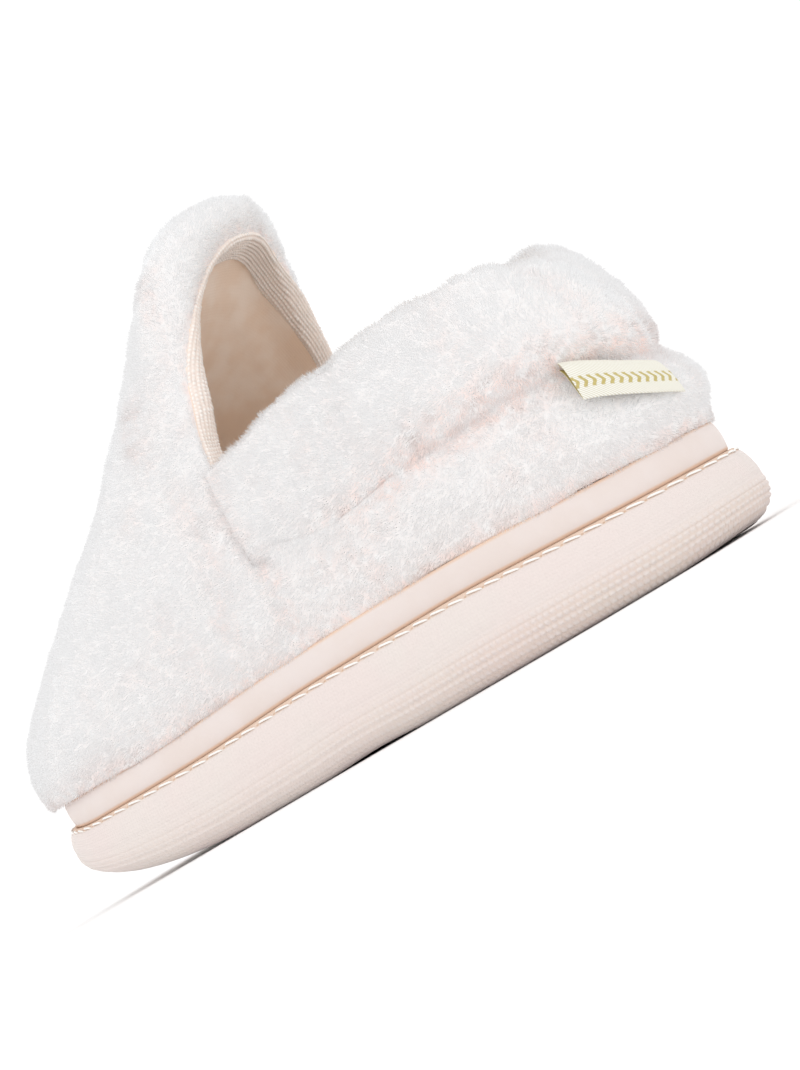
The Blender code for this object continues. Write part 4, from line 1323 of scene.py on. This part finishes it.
def grooveCutter():
    rim = outlineAt(allRound(600), sole["panel"] - tread["margin"])
    floor, mouth, deep, past = (tread[key] for key in ("floor", "mouth", "depth", "past"))
    corners = ((floor / 2, deep), (-floor / 2, deep), (-mouth / 2, -past), (mouth / 2, -past))
    points, faces = [], []
    for line in grooveLines():
        p = softLine(line, rim)
        way = unit(np.gradient(p, axis=0))
        first = len(points)
        for (x, y), (wx, wy) in zip(p, way):
            z = float(treadHeight(x))
            points += [(x - half * wy, y + half * wx, z + up) for half, up in corners]
        end = len(points) - 4
        for a in range(first, end, 4):
            faces += [(a + k, a + (k + 1) % 4, a + 4 + (k + 1) % 4, a + 4 + k) for k in range(4)]
        faces += [tuple(range(a, a + 4)) for a in (first, end)]
    mesh = bpy.data.meshes.new("grooveCutter")
    mesh.from_pydata(place(points).tolist(), [], faces)
    mesh.polygons.foreach_set("material_index", np.ones(len(faces), np.int32))
    return facing(putIn("grooveCutter", mesh))


def makeSoleBody(finish, grooves):
    s = allRound(sole["bodyColumns"])
    panel = outlineAt(s, sole["panel"])
    rings = [np.column_stack((panel, treadHeight(panel[:, 0])))]
    rings += [wallPoint(s, at, -sole["core"]) for at in sole["coreRings"]]
    rings.append(overLedge(s, sole["ledgeIn"] + sole["core"], -sole["ledgeDrop"]))
    index = closedIndex(len(rings), len(s))
    faces = gridFaces(index).tolist()
    for ring in (index[0], index[-1]):
        faces += capFaces(ring[:-1].tolist())
    piece = addPiece("soleBody", np.vstack(rings), faces, [finish, grooves], "outsole")
    facing(piece)
    cutter = grooveCutter()
    cut = piece.modifiers.new("tread", "BOOLEAN")
    cut.operation = "DIFFERENCE"
    cut.solver = "EXACT"
    cut.use_self = True
    cut.object = cutter
    piece.data = bpy.data.meshes.new_from_object(piece.evaluated_get(bpy.context.evaluated_depsgraph_get()))
    piece.modifiers.clear()
    bpy.data.objects.remove(cutter)
    piece.data.shade_smooth()
    piece.data.set_sharp_from_angle(angle=math.radians(30))
    print("tread cut, faces", len(piece.data.polygons))


# stitches round the shoulder of the sole, and dark pits, painted shade of the holes they go into
stitch = {
    "every": 6.7,
    "length": 5.7,
    "level": 0.952,           # share of the wall's height
    "loose": (0.12, 0.002),   # how far a stitch strays along and up
    "slant": 0.012,
    "lift": 0.16,
    "arch": 0.20,
    "sink": 0.3,              # its ends go into the pits
    "radius": 0.34,
    "flat": 0.85,
    "rings": 13,
    "sides": 8,
    "plyTurn": 0.35,
    "pit": ((-0.16, 0.42), (-0.10, 0.30), (-0.18, 0.14)),   # height over the wall, radius
    "pitSides": 10,
    "pitRise": 0.03,          # share of the wall's height to a millimetre
    "seed": 8,
    "thread": colour(0.95, 0.935, 0.91),
    "ply": colour(0.90, 0.86, 0.81),
    # painted shade of the stitch holes
    "holeShade": colour(0.58, 0.42, 0.31),
}


def threadFinish():
    f = Finish("stitchThread", {"Roughness": 0.32, "Specular IOR Level": 0.6})
    ply = f.size(f.sine(f.tone("twist") * 9.0))
    f.give("Base Color", f.blend(stitch["ply"], stitch["thread"], ply, 0.1, 0.6))
    f.bump(ply, strength=0.3, distance=0.0001)
    return f


def pitFinish():
    f = Finish("stitchPit", {"Roughness": 0.8})
    # pits dark: painted shade of the stitch holes
    f.give("Base Color", f.mix(stitch["holeShade"], band["line"], f.noise(900.0)))
    return f


def stitchTube(centre, level):   # rings of one stitch, and how far its ply has turned
    t = np.linspace(-1, 1, stitch["rings"])
    turn = np.linspace(0, 2 * math.pi, stitch["sides"], endpoint=False)
    s = centre + t * stitch["length"] / 2
    level = level + stitch["slant"] * t
    lift = stitch["lift"] + stitch["arch"] * (1 - t ** 4) - stitch["sink"] * np.abs(t) ** 6
    middle = wallPoint(s, level, lift)
    up = wallPoint(s, level, 1.0) - wallPoint(s, level, 0.0)
    side = unit(np.cross(np.gradient(middle, axis=0), up))
    radius = stitch["radius"] * np.sqrt(np.clip(1 - np.abs(t) ** 5, 0.05, 1))[:, None, None]
    sideways, upward = np.cos(turn)[:, None], stitch["flat"] * np.sin(turn)[:, None]
    tube = middle[:, None] + radius * (side[:, None] * sideways + up[:, None] * upward)
    return tube, t[:, None] * stitch["length"] + turn * stitch["plyTurn"]


def stitchPit(centre):
    turn = np.linspace(0, 2 * math.pi, stitch["pitSides"], endpoint=False)
    along, up, level = np.cos(turn), stitch["pitRise"] * np.sin(turn), stitch["level"]
    return [wallPoint(centre + wide * along, level + wide * up, lift) for lift, wide in stitch["pit"]]


def makeStitches(thread, holeShade):
    count = round(girth / stitch["every"])
    pitch = girth / count
    along, upward = stitch["loose"]
    rng = np.random.default_rng(stitch["seed"])
    tubes, twist, pits = [], [], []
    for k in range(count):
        centre = k * pitch + rng.normal(0, along)
        tube, turned = stitchTube(centre, stitch["level"] + rng.normal(0, upward))
        tubes.append(tube)
        twist.append(turned)
        pits.append(stitchPit(centre + pitch / 2))   # between two stitches
    facing(addPiece("soleStitches", np.reshape(tubes, (-1, 3)), tubeFaces(*np.shape(tubes)[:3]), [thread],
                    tones={"twist": np.ravel(twist)}))
    facing(addPiece("stitchPits", np.reshape(pits, (-1, 3)), tubeFaces(*np.shape(pits)[:3]), [holeShade]))


# footbed: padded, with a napped top
footbed = {
    "out": -11.0,
    "height": 5.0,
    "edge": ((0.0, -5.0), (0.0, -1.6), (-0.25, -0.9), (-0.8, -0.35), (-1.6, 0.0)),   # out, up from the top
    "dish": (1.6, 0.75),       # depth, share of the way in where it is full
    "spine": (38.0, 214.0),    # x of the line that the top closes on
    "lumps": ((7.0, 0.35), (3.0, 0.18)),
    "lumpSeed": 71,
    "weld": 0.00012,
    "columns": 300,
    "rings": 40,
    "fill": 0.6,
    "top": colour(0.84, 0.76, 0.69),
    "deep": colour(0.74, 0.62, 0.52),
}


def footbedFinish():
    f = Finish("nappedFootbed", {"Roughness": 0.95, "Sheen Weight": 0.25})
    tuft = f.noise(520.0, detail=3.0, rough=0.6)
    standing = tuft + 0.4 * f.noise(60.0)
    f.give("Base Color", f.blend(footbed["deep"], footbed["top"], standing, 0.45, 0.85))
    f.bump(tuft + 0.5 * f.noise(1800.0), strength=0.6, distance=0.0007)
    return f


def makeFootbed(finish):
    s = allRound(footbed["columns"])
    topUp = last["gap"] + footbed["height"]
    rings = [overLedge(s, footbed["out"] + out, topUp + up) for out, up in footbed["edge"]]
    start = rings[-1][:, :2]
    spine = np.column_stack((np.clip(start[:, 0], *footbed["spine"]), np.full(len(s), last["ridgeY"])))
    deep, full = footbed["dish"]
    for t in np.linspace(0, 1, footbed["rings"])[1:]:
        p = start + (spine - start) * t
        ring = np.column_stack((p, ledgeHeight(p[:, 0]) + topUp - deep * rampUp(t, 0.0, full)))
        ring[:, 2] += lumpsAt(ring, footbed["lumps"], footbed["lumpSeed"])
        rings.append(ring)
    index = closedIndex(len(rings), len(s))
    faces = gridFaces(index).tolist() + capFaces(index[0, :-1].tolist())
    piece = addPiece("footbed", np.vstack(rings), faces, [finish], "insole")
    facing(piece, footbed["weld"])


# heel label: a woven ribbon folded once and caught in the collar seam
label = {
    "ends": (0.075, 0.245),   # shares of the way from the heel back to the side seam
    "tilt": (-5.5, 0.8),      # drop at the back of the heel, and at its other end
    "columns": 60,
    "rows": 45,
    "rounding": 3,
    "thick": 0.45,
    # distance out from the upper's surface, height above the collar seam: front leaf, fold, back leaf
    "leaf": ((-0.8, 0.9), (1.2, 1.0), (3.2, 0.0), (4.7, -2.6), (5.7, -6.2), (6.3, -10.2), (6.2, -11.2),
             (5.5, -10.6), (4.3, -7.4), (3.0, -4.4), (1.6, -2.2), (-0.8, -0.9)),
    "wave": (0.35, 5.0, 11.0),   # out, turns across in radians, drop at which it is full
    "twillEvery": 0.85,
    "tickEvery": 2.1,
    "stripe": (8.7, 9.1, 12.3, 12.7),   # along the ribbon: where it begins and ends
    "cream": colour(0.90, 0.89, 0.84),
    "twill": colour(0.70, 0.67, 0.55),
    "gold": colour(0.40, 0.31, 0.08),
    "goldLight": colour(0.66, 0.56, 0.24),
}


def labelFinish():
    f = Finish("wovenRibbon", {"Roughness": 0.55, "Specular IOR Level": 0.45})
    runs, drop = f.tone("runs"), f.tone("drop")
    twill = f.between(f.sine((runs + drop) * (2 * math.pi / label["twillEvery"])), -0.2, 0.5)
    ground = f.mix(label["twill"], label["cream"], twill)
    ticks = f.sine(runs * (2 * math.pi / label["tickEvery"]) + 1.2 * f.sine(drop * 1.9))
    begin, full, fade, end = label["stripe"]
    stripe = f.between(drop, begin, full) * (1 - f.between(drop, fade, end)) * f.between(ticks, 0.05, 0.35)
    gilt = f.mix(label["gold"], label["goldLight"], f.noise(1800.0))
    f.give("Base Color", f.mix(f.mix(ground, gilt, stripe), gilt, f.tone("inside")))
    f.give("Roughness", 0.62 - 0.25 * stripe)
    f.bump(twill + 0.5 * stripe, strength=0.5, distance=0.0002)
    return f


def makeLabel(finish):
    leaf = np.array(label["leaf"])
    corners = np.arange(len(leaf))
    line = onLine(np.linspace(0, corners[-1], label["rows"]), corners, leaf)
    line = easeLine(line, label["rounding"])
    way = unit(np.gradient(line, axis=0))
    side = np.column_stack((way[:, 1], -way[:, 0])) * label["thick"] / 2
    loop = np.vstack((line + side, (line - side)[::-1]))
    drop = lineRun(line)
    drop = np.concatenate((drop, drop[::-1]))
    inside = np.repeat((1.0, 0.0), len(line))

    s = np.linspace(*label["ends"], label["columns"]) * leftSeam
    seamZ = smoothColumn(last["seam"], 1, seamShares(s)[0]) + np.linspace(*label["tilt"], len(s))
    p, normal = surfaceFrame(s, anglesAt(s, seamZ))
    flat = unit(normal[:, :2])
    high, turns, fullDrop = label["wave"]
    wave = high * np.sin(np.linspace(0, turns, len(s)))
    rows = [np.column_stack((p[:, :2] + (out - wave * up / fullDrop)[:, None] * flat, seamZ + up))
            for out, up in loop]
    index = np.arange(len(loop) * len(s)).reshape(len(loop), -1)
    ends = [index[:, 0].tolist(), index[::-1, -1].tolist()]
    tones = {"runs": np.tile(s, len(loop)), "drop": np.repeat(drop, len(s)),
             "inside": np.repeat(inside, len(s))}
    facing(addPiece("heelLabel", np.vstack(rows), hoopFaces(index).tolist() + ends, [finish],
                    "heel_label", tones, sharp=60))


# studio: pale floor, white surround, one broad soft lamp and a weak one
studio = {
    "floor": colour(0.95, 0.95, 0.95),
    "floorHalf": 6.0,
    "floorDrop": 0.0001,
    "surround": colour(1.0, 1.0, 1.0),
    "surroundPower": 1.14,
    "key": {"at": (-0.05, 0.9, 0.9), "size": 1.1, "power": 1.2},
    "fill": {"at": (-0.8, 0.6, 0.25), "size": 0.9, "power": 0.4},
    "lampTarget": (0.0, 0.0, 0.06),
    "azimuth": 210.0,
    "cameraHeight": 0.014,
    "distance": 0.725,
    "roll": 31.0,
    "target": (-0.017, -0.0119, 0.0518),
    "sensor": 36.0,
    "focal": 2400 / 1070,     # in picture heights
}


def makeFloor():
    half, z = studio["floorHalf"], -studio["floorDrop"]
    ground = bpy.data.meshes.new("studioFloor")
    corners = [(-half, -half, z), (half, -half, z), (half, half, z), (-half, half, z)]
    ground.from_pydata(corners, [], [(0, 1, 2, 3)])
    paint = Finish("floorPaint", {"Base Color": studio["floor"], "Roughness": 0.9, "Specular IOR Level": 0.1})
    ground.materials.append(paint.material)
    floor = putIn("studioFloor", ground)
    floor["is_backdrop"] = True


def makeLight():
    world = bpy.data.worlds.new("surround")
    world.use_nodes = True
    sky = world.node_tree.nodes["Background"]
    sky.inputs["Color"].default_value = studio["surround"]
    sky.inputs["Strength"].default_value = studio["surroundPower"]
    bpy.context.scene.world = world
    for name in ("key", "fill"):
        lamp = bpy.data.lights.new(name, "AREA")
        lamp.energy = studio[name]["power"]
        lamp.size = studio[name]["size"]
        stand = putIn(name, lamp)
        stand.location = studio[name]["at"]
        ahead = Vector(studio["lampTarget"]) - stand.location
        stand.rotation_euler = ahead.to_track_quat("-Z", "Y").to_euler()
    bpy.context.scene.view_settings.view_transform = "Standard"


def makeCamera():
    turn, roll = math.radians(studio["azimuth"]), math.radians(studio["roll"])
    target = Vector(studio["target"])
    spot = target + Vector((math.sin(turn), -math.cos(turn), 0)) * studio["distance"]
    spot.z = studio["cameraHeight"]
    ahead = (target - spot).normalized()
    right = ahead.cross(Vector((0, 0, 1))).normalized()
    up = right.cross(ahead)
    leanUp = up * math.cos(roll) + right * math.sin(roll)
    leanRight = right * math.cos(roll) - up * math.sin(roll)
    lens = bpy.data.cameras.new("camera")
    lens.sensor_width = studio["sensor"]
    lens.lens = studio["sensor"] * studio["focal"]
    lens.clip_start = 0.01
    lens.clip_end = 50.0
    camera = putIn("camera", lens)
    turned = Matrix((leanRight, leanUp, -ahead)).transposed().to_4x4()
    camera.matrix_world = Matrix.Translation(spot) @ turned
    bpy.context.scene.camera = camera


makeFloor()
makeLight()
makeCamera()
print("studio ready")
backFinish, hairFinish, lining = fleeceBack(), pileFinish(), liningFinish()
throat = makeUpper(backFinish, hairFinish, lining)
makeCollar(backFinish, hairFinish, lining)
makeBinding(bindingFinish(), throat)
print("fleece ready")
makeBand(bandFinish())
makeSoleBody(soleFinish(), grooveFinish())
makeWallSkin(knurlFinish())
makeStitches(threadFinish(), pitFinish())
makeFootbed(footbedFinish())
makeLabel(labelFinish())
print("sole, band and label ready")

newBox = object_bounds()
for name, box in (("cad box", cadBox), ("now", newBox)):
    print(name, [tuple(round(v, 4) for v in corner) for corner in box])
